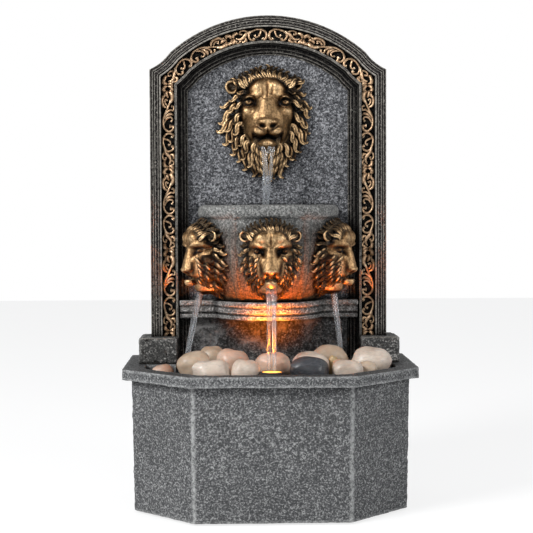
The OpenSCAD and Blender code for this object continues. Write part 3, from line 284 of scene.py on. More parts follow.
def stone_copy(node, remesh, rough, chip=0.0, calm=None):
    """A merged and remeshed copy of a solid with its faces and edges roughened, in metres."""
    shape = bmesh.new()
    shape.from_mesh(solids[node].data)
    bmesh.ops.remove_doubles(shape, verts=shape.verts, dist=1e-6)
    bmesh.ops.recalc_face_normals(shape, faces=shape.faces)
    merged = bpy.data.meshes.new(node + "_copy")
    shape.to_mesh(merged)
    shape.free()
    mesh = shown_mesh("holder", merged, [("REMESH", remesh)])
    normals = np.empty(len(mesh.vertices) * 3, dtype=np.float32)
    mesh.vertex_normals.foreach_get("vector", normals)
    crumb = mesh.attributes.new("crumb", "FLOAT", "POINT")
    for vertex, normal, place in zip(mesh.vertices, normals.reshape(-1, 3), crumb.data):
        spot = vertex.co / MM
        small = hills(spot + Vector((50, 0, 0)), CRUMB_MM, 3)
        push = rough * 0.8 * hills(spot, LUMP_MM, 3) + rough * 0.7 * small
        if chip:
            push -= chip * max(0.0, hills(spot + Vector((0, 90, 0)), CHIP_MM, 2) - 0.25)
        vertex.co += Vector(normal) * (push * MM * (calm(spot) if calm else 1.0))
        place.value = 0.5 + 0.5 * small
    return mesh


print("stone helper ready")

# %% [markdown]
# ## Finishes
# A finish is built from a few ideas: spots of noise, steps of tone, sums, and the nooks that dirt
# gathers in. Patterns are read in Object coordinates, in metres, so a noise scale of 300 gives
# spots of about 3 mm.

# %% Patterns and sums
def spots(tree, scale, detail=4.0, rough=0.6, stretch=(1, 1, 1), shift=(0, 0, 0)):
    """Noise in Object coordinates."""
    turn = add(tree, "ShaderNodeMapping")
    set_inputs(turn, {"Scale": stretch, "Location": shift})
    feed(tree, turn.inputs["Vector"], add(tree, "ShaderNodeTexCoord").outputs["Object"])
    grain = add(tree, "ShaderNodeTexNoise")
    set_inputs(grain, {"Scale": scale, "Detail": detail, "Roughness": rough})
    feed(tree, grain.inputs["Vector"], turn.outputs["Vector"])
    return grain.outputs["Fac"]


def steps(tree, source, *stops):
    """A colour ramp; each stop is a place and a colour or a grey."""
    ramp = add(tree, "ShaderNodeValToRGB")
    band = ramp.color_ramp
    while len(band.elements) < len(stops):
        band.elements.new(0.5)
    for element, (place, tone) in zip(band.elements, stops):
        element.position = place
        element.color = (*tone, 1) if isinstance(tone, tuple) else (tone, tone, tone, 1)
    feed(tree, ramp.inputs["Fac"], source)
    return ramp.outputs["Color"]


def blend(tree, factor, low, high, way="MIX"):
    """Mixes two colours by a factor; each of the three is an output or plain numbers."""
    mix = add(tree, "ShaderNodeMix", data_type="RGBA", blend_type=way)
    mix.clamp_factor = True
    for socket, value in ((mix.inputs[0], factor), (mix.inputs[6], low), (mix.inputs[7], high)):
        feed(tree, socket, value)
    return mix.outputs[2]


def shaded(tree, tone, shade):
    """A tone multiplied by a shade."""
    return blend(tree, 1.0, tone, shade, "MULTIPLY")


def sums(tree, way, first, second=0.0):
    """Arithmetic on two values."""
    node = add(tree, "ShaderNodeMath", operation=way)
    feed(tree, node.inputs[0], first)
    feed(tree, node.inputs[1], second)
    return node.outputs[0]


def times(tree, first, second):
    """The first value times the second."""
    return sums(tree, "MULTIPLY", first, second)


def minus(tree, first, second):
    """The first value less the second."""
    return sums(tree, "SUBTRACT", first, second)


def shares(tree, first, first_share, second, second_share):
    """Two values added, each by its share."""
    return sums(tree, "ADD", times(tree, first, first_share), times(tree, second, second_share))


print("pattern helpers ready")

# %% [markdown]
# A finish also has to know the shape under it. Bump makes grains too small to model, ambient
# occlusion tells nooks from ridges, and an attribute brings a value that was stored on the mesh.

# %% Relief, nooks and stored values
def relief(tree, shader, height, strength, depth_mm, soft_edge=0.0):
    """Bump from a height, over edges that are rounded by soft_edge mm."""
    bump = add(tree, "ShaderNodeBump")
    set_inputs(bump, {"Strength": strength, "Distance": depth_mm * MM})
    feed(tree, bump.inputs["Height"], height)
    if soft_edge:
        edge = add(tree, "ShaderNodeBevel", samples=4)
        edge.inputs["Radius"].default_value = soft_edge * MM
        feed(tree, bump.inputs["Normal"], edge.outputs["Normal"])
    feed(tree, shader.inputs["Normal"], bump.outputs["Normal"])


def nook(tree, reach_mm, inside=False):
    """1 on open faces, towards 0 in nooks, or on edges when it looks inside."""
    node = add(tree, "ShaderNodeAmbientOcclusion", samples=6, inside=inside, only_local=inside)
    node.inputs["Distance"].default_value = reach_mm * MM
    return node.outputs["AO"]


def ridges_of(tree, reach_mm):
    """1 on sharp edges and ridges, 0 on flat faces."""
    return minus(tree, 1.0, nook(tree, reach_mm, inside=True))


def threads(tree, pattern):
    """How far a pattern is from its middle value: 0 along thin winding lines."""
    return sums(tree, "ABSOLUTE", minus(tree, pattern, 0.5))


def stored(tree, name):
    """A value that was stored on the mesh."""
    return add(tree, "ShaderNodeAttribute", attribute_name=name).outputs["Fac"]


def parts_of(tree, vector):
    """The X, Y and Z of a vector."""
    split = add(tree, "ShaderNodeSeparateXYZ")
    feed(tree, split.inputs[0], vector)
    return split.outputs


print("surface helpers ready")

# %% [markdown]
# The stone is a dark charcoal cast that was dry-brushed with silvery grey: the brush touched only
# the raised grains and the edges. So one noise drives both the bump and the light paint, and
# painted shade keeps the nooks nearly black. Thin wandering veins of the light paint break up the even
# grain.

# %% Cast stone
def coarse_grain(tree, grain):
    """The larger grains of the cast, twice the size of the fine ones."""
    return spots(tree, grain * 0.5, 3.0, 0.6, shift=(3, 1, 2))


def stone_skin(name, dark, middle, light, grain, cover, veins=0.40, lift=1.0, edge_mm=1.2, worn=1.0,
               crumb=0.0, reach=7.0, cloudy=0.25, spread=0.13, worn_at=(0.30, 0.62), painted_shade_at=(0.20, 0.85),
               deepest_painted_shade=0.12, gloss=0.25, coats=()):
    """Cast stone: dark gaps, a middle tone, light paint on grains, veins and worn edges, and painted shade
    in nooks.

    Each of the coats, (function, settings) each, changes the tone once more at the end.
    """
    skin, tree, shader = new_skin(name)
    fine = spots(tree, grain, 2.0, 0.5)
    coarse = coarse_grain(tree, grain)
    cloud = spots(tree, 16.0, 3.0, 0.5, shift=(7, 5, 1))
    high = shares(tree, fine, 0.70, coarse, 0.30)
    if crumb:
        high = shares(tree, high, 1.0 - crumb, stored(tree, "crumb"), crumb)
    soft = sums(tree, "ADD", high, times(tree, minus(tree, cloud, 0.5), cloudy))
    tone = steps(tree, soft, (cover - spread, dark), (cover, middle), (cover + spread, light))
    wander = spots(tree, grain * 0.5, 3.0, 0.5, stretch=(1, 0.8, 1.3), shift=(5, 9, 2))
    vein = times(tree, steps(tree, threads(tree, wander), (0.008, veins), (0.042, 0.0)),
                 steps(tree, fine, (0.42, 0.15), (0.54, 1.0)))
    tone = blend(tree, vein, tone, light)
    edge = steps(tree, ridges_of(tree, edge_mm * 2.2), (worn_at[0], 0.0), (worn_at[1], 1.0))
    edge = times(tree, times(tree, edge, worn), steps(tree, coarse, (0.38, 0.35), (0.55, 1.0)))
    tone = blend(tree, edge, tone, tuple(min(0.62, 1.3 * c) for c in light))
    # Painted shade: the nooks darken the tone, down to the deepest share.
    tone = shaded(tree, tone, steps(tree, nook(tree, reach), (painted_shade_at[0], deepest_painted_shade), (painted_shade_at[1], 1.0)))
    for coat, *settings in coats:
        tone = coat(tree, tone, *settings)
    feed(tree, shader.inputs["Base Color"], tone)
    feed(tree, shader.inputs["Roughness"], steps(tree, high, (0.3, 0.80), (0.7, 0.55)))
    shader.inputs["Specular IOR Level"].default_value = gloss
    relief(tree, shader, high, lift, 1.0, edge_mm * 0.5)
    return skin


print("stone finish ready")

# %% [markdown]
# Some pieces need one coat more. The frame's grooves get painted shade, the basin's level tops get
# painted shade that makes them darker than its sides, and its front corners are chalky, as rubbed
# corners are. The bowl gets a painted warm lamp glow and painted shade low down, and painted shade on its
# body below the lip.

# %% Last coats of the stone
def shaded_grooves(tree, tone, reach_mm):
    """Painted shade: nearly black where a groove is narrower than the reach."""
    return shaded(tree, tone, steps(tree, nook(tree, reach_mm), (0.55, 0.12), (0.88, 1.0)))


def shaded_tops(tree, tone, share):
    """Painted shade: darker on faces that look up."""
    up = parts_of(tree, add(tree, "ShaderNodeNewGeometry").outputs["Normal"])["Z"]
    return shaded(tree, tone, steps(tree, up, (0.5, 1.0), (0.9, share)))


def painted_glow_and_shade_by_height(tree, tone, *stops):
    """Multiplied by colours that lie at heights, in metres: painted lamp glow and painted shade."""
    place = parts_of(tree, add(tree, "ShaderNodeTexCoord").outputs["Object"])
    return shaded(tree, tone, steps(tree, place["Z"], *stops))


def chalky_corners(tree, tone, corner, light, grain):
    """Light paint on the two front corners, which stand at plus and minus the corner's x."""
    place = parts_of(tree, add(tree, "ShaderNodeTexCoord").outputs["Object"])
    side = minus(tree, sums(tree, "ABSOLUTE", place["X"]), corner[0])
    ahead = minus(tree, place["Y"], corner[1])
    away = sums(tree, "SQRT", sums(tree, "ADD", times(tree, side, side), times(tree, ahead, ahead)))
    near = steps(tree, times(tree, away, 100.0), (0.08, 0.85), (0.34, 0.0))
    broken = steps(tree, coarse_grain(tree, grain), (0.38, 0.15), (0.55, 1.0))
    return blend(tree, times(tree, near, broken), tone, light)


foot = [vertex.co for vertex in solids["basin"].data.vertices if vertex.co.z < 0.1]
front_line = min(place.y for place in foot)
CORNER = (max(abs(place.x) for place in foot if place.y < front_line + 0.001), front_line)
print("basin's front corner at", [round(c / MM, 1) for c in CORNER], "mm")

# %% [markdown]
# Each casting has its own batch of the same stone: the frame is the darkest, the rim and the bowl
# are brushed most, and the panel has the roughest grain.

# %% The castings' stone
BASIN_LIGHT, BASIN_GRAIN = (0.34, 0.345, 0.34), 600.0
# The basin's last coats are painted shade on its level tops and chalky paint on its front corners.
stone_basin = stone_skin(
    "stone_basin", (0.042, 0.043, 0.045), (0.092, 0.093, 0.096), BASIN_LIGHT, BASIN_GRAIN, cover=0.57,
    veins=0.80, lift=1.2, edge_mm=1.6, worn=0.4, crumb=0.10, worn_at=(0.10, 0.30), cloudy=0.16, spread=0.12,
    coats=[(shaded_tops, 0.42), (chalky_corners, CORNER, BASIN_LIGHT, BASIN_GRAIN)])
# The frame's last coat is painted shade in its grooves.
stone_frame = stone_skin(
    "stone_frame", (0.006, 0.005, 0.005), (0.022, 0.020, 0.018), (0.24, 0.225, 0.20), 640.0, cover=0.59,
    veins=0.35, lift=0.8, edge_mm=0.7, reach=12.0, spread=0.09, worn_at=(0.20, 0.42), painted_shade_at=(0.56, 0.93),
    deepest_painted_shade=0.16, gloss=0.10, coats=[(shaded_grooves, 2.6)])
stone_panel = stone_skin(
    "stone_panel", (0.012, 0.013, 0.016), (0.050, 0.051, 0.055), (0.31, 0.315, 0.33), 560.0, cover=0.565,
    veins=0.80, lift=1.3, edge_mm=0.5, worn=0.3, crumb=0.20, reach=9.0, spread=0.085, painted_shade_at=(0.35, 0.9),
    gloss=0.1)
stone_rim = stone_skin(
    "stone_rim", (0.046, 0.044, 0.042), (0.145, 0.139, 0.132), (0.46, 0.445, 0.43), 600.0, cover=0.54,
    lift=0.7, edge_mm=0.8, reach=4.0, worn_at=(0.12, 0.32), painted_shade_at=(0.42, 0.92))
# The bowl's last coat is painted orange lamp glow low down and painted shade on its body below the lip.
stone_bowl = stone_skin(
    "stone_bowl", (0.055, 0.056, 0.054), (0.150, 0.151, 0.145), (0.36, 0.36, 0.345), 620.0, cover=0.52,
    lift=0.6, edge_mm=0.9, worn=0.9, crumb=0.1, worn_at=(0.10, 0.30), reach=9.0, painted_shade_at=(0.3, 0.9),
    coats=[(painted_glow_and_shade_by_height, (0.205, (0.50, 0.25, 0.085)), (0.245, (0.60, 0.50, 0.44)),
            (0.266, (0.45, 0.42, 0.40)), (0.279, 1.0))])
stone_block = stone_skin(
    "stone_block", (0.028, 0.028, 0.027), (0.092, 0.090, 0.086), (0.37, 0.36, 0.34), 560.0, cover=0.535,
    worn=0.7, crumb=0.10, spread=0.08, worn_at=(0.13, 0.36))
stone_rock = stone_skin(
    "stone_rock", (0.014, 0.014, 0.014), (0.046, 0.045, 0.044), (0.20, 0.195, 0.19), 560.0, cover=0.57,
    worn=0.5, crumb=0.12, reach=9.0, spread=0.12, cloudy=0.10)
print("stone finishes:", len([m for m in bpy.data.materials if m.name.startswith("stone")]))

# %% [markdown]
# The gilding is metallic paint rubbed over a dark brown cast, so it is bright on ridges and brown
# to black in every gap; the bright ridges are partly a painted highlight and the black gaps partly
# painted shade. Ambient occlusion finds the gaps and its inside version finds the ridges. The
# lions' gaps are too fine for that, so their carving stores how rubbed each point is, with painted
# shade in the face's creases.

# %% Aged gilding
def stored_wear_and_shade(tree, tone, bright, wear_and_shade):
    """Darkens the tone in the carving's gaps with patina and painted shade, and brightens its ridges with
    rubbed gilding and a painted highlight, by the stored wear.
    """
    worn = stored(tree, "wear_and_shade")
    # Patina and painted shade darken the stored gaps and creases.
    shade_and_patina = steps(tree, worn, (0.26, (0.03, 0.022, 0.018)), (0.56, (0.36, 0.28, 0.21)), (0.80, 1.0))
    tone = blend(tree, wear_and_shade, tone, shaded(tree, tone, shade_and_patina))
    # Rubbed gilding and a painted highlight on the highest tops.
    bright = times(tree, bright, steps(tree, worn, (0.45, 0.1), (0.85, 1.0)))
    return tone, sums(tree, "MAXIMUM", bright, steps(tree, worn, (0.86, 0.0), (1.0, 0.7)))


def gilt_skin(name, gap_mm, dark, bright_tone, clean_tone, brown, wear_and_shade=0.0):
    """Rubbed gilding with painted shade in nooks and a painted highlight on ridges; the last setting says
    how far the carving's stored wear and painted shade take over from the nooks.
    """
    skin, tree, shader = new_skin(name)
    air = nook(tree, gap_mm)
    ridge = ridges_of(tree, gap_mm * 0.4)
    cloud = spots(tree, 110.0, 5.0, 0.65)
    fleck = spots(tree, 800.0, 3.0, 0.6, shift=(2, 4, 6))
    rub = spots(tree, 330.0, 4.0, 0.6, shift=(9, 4, 1), stretch=(1.6, 1.0, 0.7))
    level = shares(tree, air, 0.72, cloud, brown)
    # Patina and painted shade: the tone runs from black in nooks to clean gilt in the open.
    tone = steps(tree, level, (dark - 0.08, (0.006, 0.004, 0.003)), (dark + 0.10, (0.045, 0.023, 0.010)),
                 (dark + 0.28, (0.17, 0.098, 0.042)), (dark + 0.44, clean_tone))
    # Rubbed gilding and a painted highlight: open ridges are brightened.
    bright = times(tree, steps(tree, ridge, (0.22, 0.0), (0.52, 0.9)),
                   steps(tree, air, (0.55, 0.0), (0.85, 1.0)))
    if wear_and_shade:
        tone, bright = stored_wear_and_shade(tree, tone, bright, wear_and_shade)
    bright = times(tree, bright, steps(tree, rub, (0.36, 0.45), (0.56, 1.0)))
    tone = blend(tree, bright, tone, bright_tone)
    pits = steps(tree, spots(tree, 540.0, 2.0, 0.5, shift=(4, 7, 3)), (0.38, (0.60, 0.58, 0.55)),
                 (0.50, (0.98, 0.98, 0.98)), (0.64, (1.22, 1.22, 1.22)))
    feed(tree, shader.inputs["Base Color"], shaded(tree, tone, pits))
    feed(tree, shader.inputs["Metallic"], steps(tree, level, (0.5, 0.2), (0.9, 0.85)))
    feed(tree, shader.inputs["Roughness"], steps(tree, rub, (0.35, 0.48), (0.65, 0.30)))
    relief(tree, shader, shares(tree, rub, 0.6, fleck, 0.4), 0.9, 0.9)
    return skin


gilt_lion = gilt_skin("gilt_lion", 5.0, 0.57, bright_tone=(0.80, 0.56, 0.31),
                      clean_tone=(0.42, 0.265, 0.13), brown=0.60, wear_and_shade=1.0)
gilt_scroll = gilt_skin("gilt_scroll", 2.2, 0.30, bright_tone=(1.0, 0.78, 0.54),
                        clean_tone=(0.54, 0.36, 0.22), brown=0.45)
print("gilding ready")

# %% [markdown]
# The stones are polished river pebbles: a thin glossy coat over clouded colour with a few veins.

# %% Polished pebbles
def pebble_skin(colour, tones, vein=(0.3, 0.27, 0.24), veins=0.4, scale=38.0):
    """Clouded colour through three tones, with thin veins and small specks in it."""
    skin, tree, shader = new_skin("pebble_" + colour)
    cloud = spots(tree, scale, 5.0, 0.6)
    tone = steps(tree, cloud, *zip((0.3, 0.5, 0.7), tones))
    winding = spots(tree, scale * 1.7, 4.0, 0.55, stretch=(0.7, 1.6, 3.0), shift=(5, 2, 8))
    tone = blend(tree, steps(tree, threads(tree, winding), (0.0, veins), (0.035, 0.0)), tone, vein)
    speck = steps(tree, spots(tree, 900.0, 2.0, 0.5, shift=(1, 1, 4)), (0.62, 0.0), (0.72, 0.25))
    feed(tree, shader.inputs["Base Color"], blend(tree, speck, tone, vein))
    feed(tree, shader.inputs["Roughness"], steps(tree, cloud, (0.3, 0.55), (0.7, 0.42)))
    set_inputs(shader, {"Coat Weight": 0.18, "Coat Roughness": 0.22,
                        "Subsurface Weight": 0.05, "Subsurface Scale": 0.003})
    relief(tree, shader, cloud, 0.12, 0.6)
    return skin


pebble_skins = {
    "white": pebble_skin("white", ((0.34, 0.25, 0.19), (0.52, 0.42, 0.34), (0.62, 0.54, 0.46))),
    "tan": pebble_skin("tan", ((0.28, 0.19, 0.12), (0.43, 0.32, 0.225), (0.54, 0.43, 0.33))),
    "pink": pebble_skin("pink", ((0.36, 0.19, 0.115), (0.50, 0.32, 0.23), (0.58, 0.43, 0.34))),
    "yellow": pebble_skin("yellow", ((0.36, 0.23, 0.09), (0.52, 0.38, 0.19), (0.58, 0.48, 0.30)),
                          veins=0.25),
    "black": pebble_skin("black", ((0.012, 0.013, 0.016), (0.028, 0.030, 0.035), (0.05, 0.053, 0.06)),
                         vein=(0.11, 0.11, 0.12), veins=0.35)}
print("pebble finishes:", len(pebble_skins))

# %% [markdown]
# Water, plastics, rubber and metal are plainer, but none is one flat colour: each gets a little
# grain in its gloss and surface.

# %% Water and hose
def clear_skin(name, colour, ior, rough, ripple, clear=1.0):
    """Clear water, glass or hose; clear says how much light goes through."""
    skin, tree, shader = new_skin(name)
    set_inputs(shader, {"Base Color": (*colour, 1), "Transmission Weight": clear,
                        "IOR": ior, "Roughness": rough})
    relief(tree, shader, spots(tree, 160.0, 2.0, 0.5), ripple, 1.0)
    return skin


water = clear_skin("water", (0.93, 0.97, 1.0), ior=1.33, rough=0.02, ripple=0.35)
stream_water = clear_skin("stream_water", (0.96, 0.98, 1.0), ior=1.33, rough=0.03, ripple=0.12, clear=0.95)
clear_hose = clear_skin("clear_hose", (0.80, 0.84, 0.84), ior=1.45, rough=0.15, ripple=0.1)
print("clear finishes:", water.name, stream_water.name, clear_hose.name)

# %% [markdown]
# The hardware in the basin and behind the back is moulded plastic, rubber, steel and ceramic. One
# speckled noise between two close tones serves them all.

# %% Plastics, rubber and metal
def plain_skin(name, low, high, rough, metal=0.0, lift=0.2):
    """A moulded or metal finish between two close tones."""
    skin, tree, shader = new_skin(name)
    speck = spots(tree, 700.0, 4.0, 0.6)
    feed(tree, shader.inputs["Base Color"], steps(tree, speck, (0.3, low), (0.7, high)))
    feed(tree, shader.inputs["Roughness"], steps(tree, speck, (0.3, rough[0]), (0.7, rough[1])))
    shader.inputs["Metallic"].default_value = metal
    relief(tree, shader, speck, lift, 0.2, 0.25)
    return skin


black_plastic = plain_skin("black_plastic", (0.016, 0.016, 0.018), (0.035, 0.035, 0.038), (0.42, 0.6))
grey_plastic = plain_skin("grey_plastic", (0.045, 0.046, 0.05), (0.08, 0.08, 0.085), (0.4, 0.58))
black_rubber = plain_skin("black_rubber", (0.012, 0.012, 0.012), (0.03, 0.03, 0.03), (0.7, 0.9))
red_rubber = plain_skin("red_rubber", (0.16, 0.02, 0.015), (0.25, 0.04, 0.03), (0.5, 0.7))
zinc_steel = plain_skin("zinc_steel", (0.42, 0.43, 0.45), (0.62, 0.63, 0.66), (0.25, 0.42), metal=1.0)
white_ceramic = plain_skin("white_ceramic", (0.78, 0.78, 0.75), (0.86, 0.86, 0.84), (0.15, 0.25), lift=0.05)
potting = plain_skin("potting", (0.05, 0.025, 0.012), (0.12, 0.06, 0.03), (0.35, 0.6))
magnet_coat = plain_skin("magnet_coat", (0.05, 0.05, 0.055), (0.11, 0.11, 0.12), (0.25, 0.45), metal=0.6)
lamp_board = plain_skin("lamp_board", (0.62, 0.63, 0.60), (0.78, 0.78, 0.74), (0.3, 0.5))
print("hardware finishes ready")

# %% [markdown]
# The lamp's lens is amber and lit from inside. It glows by emission, strong enough to look lit and
# weak enough to keep its colour.

# %% Glowing lens
def glowing_lens(strength):
    """Amber glass that is lit from inside."""
    skin, tree, shader = new_skin("glowing_lens")
    set_inputs(shader, {"Base Color": (1.0, 0.62, 0.2, 1), "Roughness": 0.12, "Coat Weight": 0.5,
                        "Emission Color": (1.0, 0.33, 0.025, 1), "Emission Strength": strength})
    relief(tree, shader, spots(tree, 1200.0, 2.0, 0.5), 0.1, 0.3)
    return skin


lens_glow = glowing_lens(3.2)
print("finishes in all:", len(bpy.data.materials))

# %% [markdown]
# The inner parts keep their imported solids. Each gets the finish of its own material, so the open
# basin, the back and the pump look right from every side.

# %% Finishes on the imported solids
SKIN_OF_SLOT = {
    "cast_stone": stone_frame, "gilt": gilt_lion, "black_plastic": black_plastic,
    "grey_plastic": grey_plastic, "rubber": black_rubber, "steel": zinc_steel,
    "clear_hose": clear_hose, "ceramic": white_ceramic, "potting": potting,
    "magnet": magnet_coat, "circuit_board": lamp_board, "lens": lens_glow, "seal_red": red_rubber,
    **{"stone_" + colour: skin for colour, skin in pebble_skins.items()}}
for row in frame["record"]["subparts"]:
    packed = solids[row["node"]]
    for place in packed.material_slots:
        place.material = SKIN_OF_SLOT[row["material_slot"]]

# %% [markdown]
# ## Lion faces
# Each lion's face is carved relief: a forehead, two brows, deep eyes, a long nose, soft lips and a
# jaw. A relief can be described as a height over a flat back, so a fine grid is lifted by melted
# mounds with dents pressed in between. It gives smooth skin with sharp creases, which pushing a
# coarse cage about would not.

# %% Mounds and dents
def melt(levels, softness):
    """The highest of several surfaces, with their meeting lines melted together."""
    stack = np.stack(levels)
    top = stack.max(axis=0)
    return top + softness * np.log(np.exp((stack - top) / softness).sum(axis=0))


def away_squared(a, v, at, wide, tall, tilt):
    """How far places are from the middle of a tilted oval, squared: 1 on its line."""
    x, y = a - at[0], v - at[1]
    c, s = math.cos(math.radians(tilt)), math.sin(math.radians(tilt))
    return ((x * c + y * s) / wide) ** 2 + ((y * c - x * s) / tall) ** 2


def mound(a, v, at, wide, tall, top, fall, power=1.0, tilt=0.0):
    """A rounded hill with its top at a height, which falls away outside its oval."""
    return top - fall * away_squared(a, v, at, wide, tall, tilt) ** power


def dent(a, v, at, wide, tall, tilt=0.0):
    """1 in the middle of an oval, fading outwards."""
    return np.exp(-away_squared(a, v, at, wide, tall, tilt))


def ring(a, v, at, wide, tall, width, tilt=0.0):
    """1 on an oval line, fading beside it: an eyelid's edge."""
    away = np.sqrt(away_squared(a, v, at, wide, tall, tilt))
    return np.exp(-(((away - 1) * min(wide, tall)) / width) ** 2)


def ease(x):
    """A soft step from 0 to 1."""
    x = np.clip(x, 0, 1)
    return x * x * (3 - 2 * x)


print("dent at its middle and edge:", [round(float(dent(x, 0, (0, 0), 2, 2)), 2) for x in (0, 2)])

# %% [markdown]
# A face takes dozens of such forms. Written as lists, one row to a form, they read like a carver's
# notes and can be changed one at a time.

# %% Carving in lists
def mounds(a, v, softness, rows, *surfaces):
    """Some surfaces and a list of mounds, all melted into one."""
    return melt([*surfaces, *(mound(a, v, *row) for row in rows)], softness)


def carve(h, a, v, cuts):
    """A surface with small forms added to it; a cut is a height, a form and where it lies."""
    for height, form, *where in cuts:
        h = h + height * form(a, v, *where)
    return h


def shade_and_patina(a, v, marks, *others):
    """How much painted shade a face gets, 0 to 1: the strongest of some marks and other patterns."""
    shade_at_marks = [share * form(a, v, *where) for share, form, *where in marks]
    return np.clip(np.max([*shade_at_marks, *others], axis=0), 0, 1)


print("carving helpers ready")

# %% [markdown]
# The large mask looks straight ahead with a broad nose and full lips. Heights are in millimetres
# over the panel, across u and up v from the tip of the nose, and the face is the same both ways.

# %% Large face
def large_lip_line(a):
    """The height of the line between the upper lip and the mouth."""
    return -8.4 - 0.80 * a + 0.062 * a * a


def large_face(u, v):
    """Heights of the large mask's face."""
    a = np.sqrt(u * u + 0.3)
    h = mounds(a, v, 1.5, [
        ((0, 20), 24.5, 31, 20.5, 12, 1.4),                 # the whole face
        ((9.0, 37), 9.5, 11, 25.2, 6, 1.1, 10),             # forehead
        ((0, 36), 8, 14, 23.6, 5, 1.1),
        ((9.5, 30.6), 6.5, 4.6, 25.2, 5, 1.0, -20),         # brow, inner and outer
        ((17.5, 29.2), 8, 3.2, 23.6, 5, 1.0, -20),
        ((19.0, 15.0), 8, 7.5, 21.6, 6, 1.0, -30),          # cheekbone
        ((9.0, 7), 9.5, 16, 26.5, 9, 1.2, 10),              # muzzle
        ((12.5, -2), 7, 12, 19.0, 8, 1.1),                  # jowl
        ((0, -28), 11, 12, 15.0, 8, 1.2)])                  # chin
    h = carve(h, a, v, [(-4.4, dent, (18.0, 23.8), 6.0, 4.6, -10), (-2.0, dent, (11.2, 22), 2.2, 4.4, -15)])
    h = mounds(a, v, 0.2, [((18.2, 23.6), 3.9, 3.3, 21.4, 3.8)], h)
    h = carve(h, a, v, [
        (1.8, ring, (18.2, 23.7), 5.4, 4.5, 0.8, -12),      # eyelids and pupil
        (-1.5, ring, (18.2, 23.6), 4.1, 3.3, 0.5, -12),
        (1.2, dent, (17.6, 28.0), 5.6, 0.9, -14),
        (-2.0, dent, (17.9, 23.7), 1.1, 1.1),
        (-1.0, ring, (17.9, 23.7), 2.2, 2.1, 0.4)])
    slope = 24.6 + 0.35 * np.clip(27 - v, -6, 24)
    bridge = slope - 4.6 * (a / (8.4 + 0.10 * np.clip(24 - v, 0, 20))) ** 2.8
    bridge = bridge - 5 * (np.clip(v - 26, 0, 11) / 9) ** 2 - 12 * ease((2 - v) / 12)
    h = mounds(a, v, 0.9, [
        ((0, 3.4), 10.0, 4.0, 35.2, 5, 1.6),                # nose pad
        ((0, -1.6), 6.0, 6.0, 34.6, 6, 1.5),
        ((8.4, -5.2), 8.4, 6.4, 32.4, 8, 1.3)], h, bridge)  # upper lip
    h = carve(h, a, v, [
        (-1.8, dent, (0, 36), 1.3, 9),                      # frown
        (-0.9, dent, (4.6, 33), 1.0, 5, -14),
        (-0.7, dent, (3.0, 27), 4.5, 0.9, 18),
        (-0.35, dent, (0, 8.4), 8, 0.7),
        (-4.6, dent, (5.0, -0.4), 2.7, 1.6, 15),            # nostril
        (-1.6, dent, (10.2, 1.6), 0.9, 3.2, -20),
        (-2.4, dent, (7.2, -3.0), 3.8, 0.8, 32),
        (-2.2, dent, (0, -7), 0.7, 3.4)])                   # cleft of the lip
    cut = ease((large_lip_line(a) - v) / 1.8) * (1 - ease((a - 12.5) / 4.0))
    jaw = mounds(a, v, 0.7, [((0, -17.6), 7.4, 4.8, 32, 8, 2.2), ((0, -25), 12, 9, 15, 7, 1.2)])
    h = carve(h + (np.maximum(jaw, 6) - h) * cut, a, v, [
        (-5.0, dent, (0, -11.6), 9.0, 1.2),                 # mouth and lower lip
        (0.9, dent, (3.9, -18), 2.2, 2.6),
        (-0.8, dent, (0, -18), 0.9, 3),
        *((-0.8, dent, (10 + row * 1.1, -2.0 - row * 2.0), 4.0, 0.45, 8 - row * 3) for row in range(4))])
    oval = (a / 26) ** 2 + ((v - 9) / 37) ** 2
    return h - 12 * np.clip(oval - 0.9, 0, 3) ** 1.2


def large_crease_shade(a, v):
    """Painted shade in the face: round the eyes, nostrils and lips, in the frown, along the mouth and at the
    face's edge.
    """
    return shade_and_patina(a, v, [
        (0.95, ring, (18.2, 23.6), 4.3, 3.5, 0.9, -12), (0.9, dent, (17.9, 23.7), 1.2, 1.2),
        (0.85, dent, (12.6, 21.4), 2.0, 2.6, -20), (0.95, dent, (5.0, -0.6), 2.6, 1.5, 15),
        (0.8, dent, (0, -5.5), 0.9, 2.8), (0.5, dent, (0, 36), 1.2, 8),
        (0.55, ring, (18.2, 24.2), 6.6, 6.0, 0.8, -12)],
        0.9 * np.exp(-((v - large_lip_line(a)) / 1.2) ** 2) * (1 - ease((a - 13) / 4)),
        0.75 * ease(((a / 24) ** 2 + ((v - 9) / 36) ** 2 - 0.95) / 0.2))


print("large nose height:", round(float(large_face(np.array([0.0]), np.array([2.0]))[0]), 1), "mm")

# %% [markdown]
# The three heads on the bowl are smaller and fiercer: heavy brows that slope down to a narrow
# straight nose, deep-set eyes, and below the nose a plain round swelling, because the spout's cast
# lip covers the mouth.

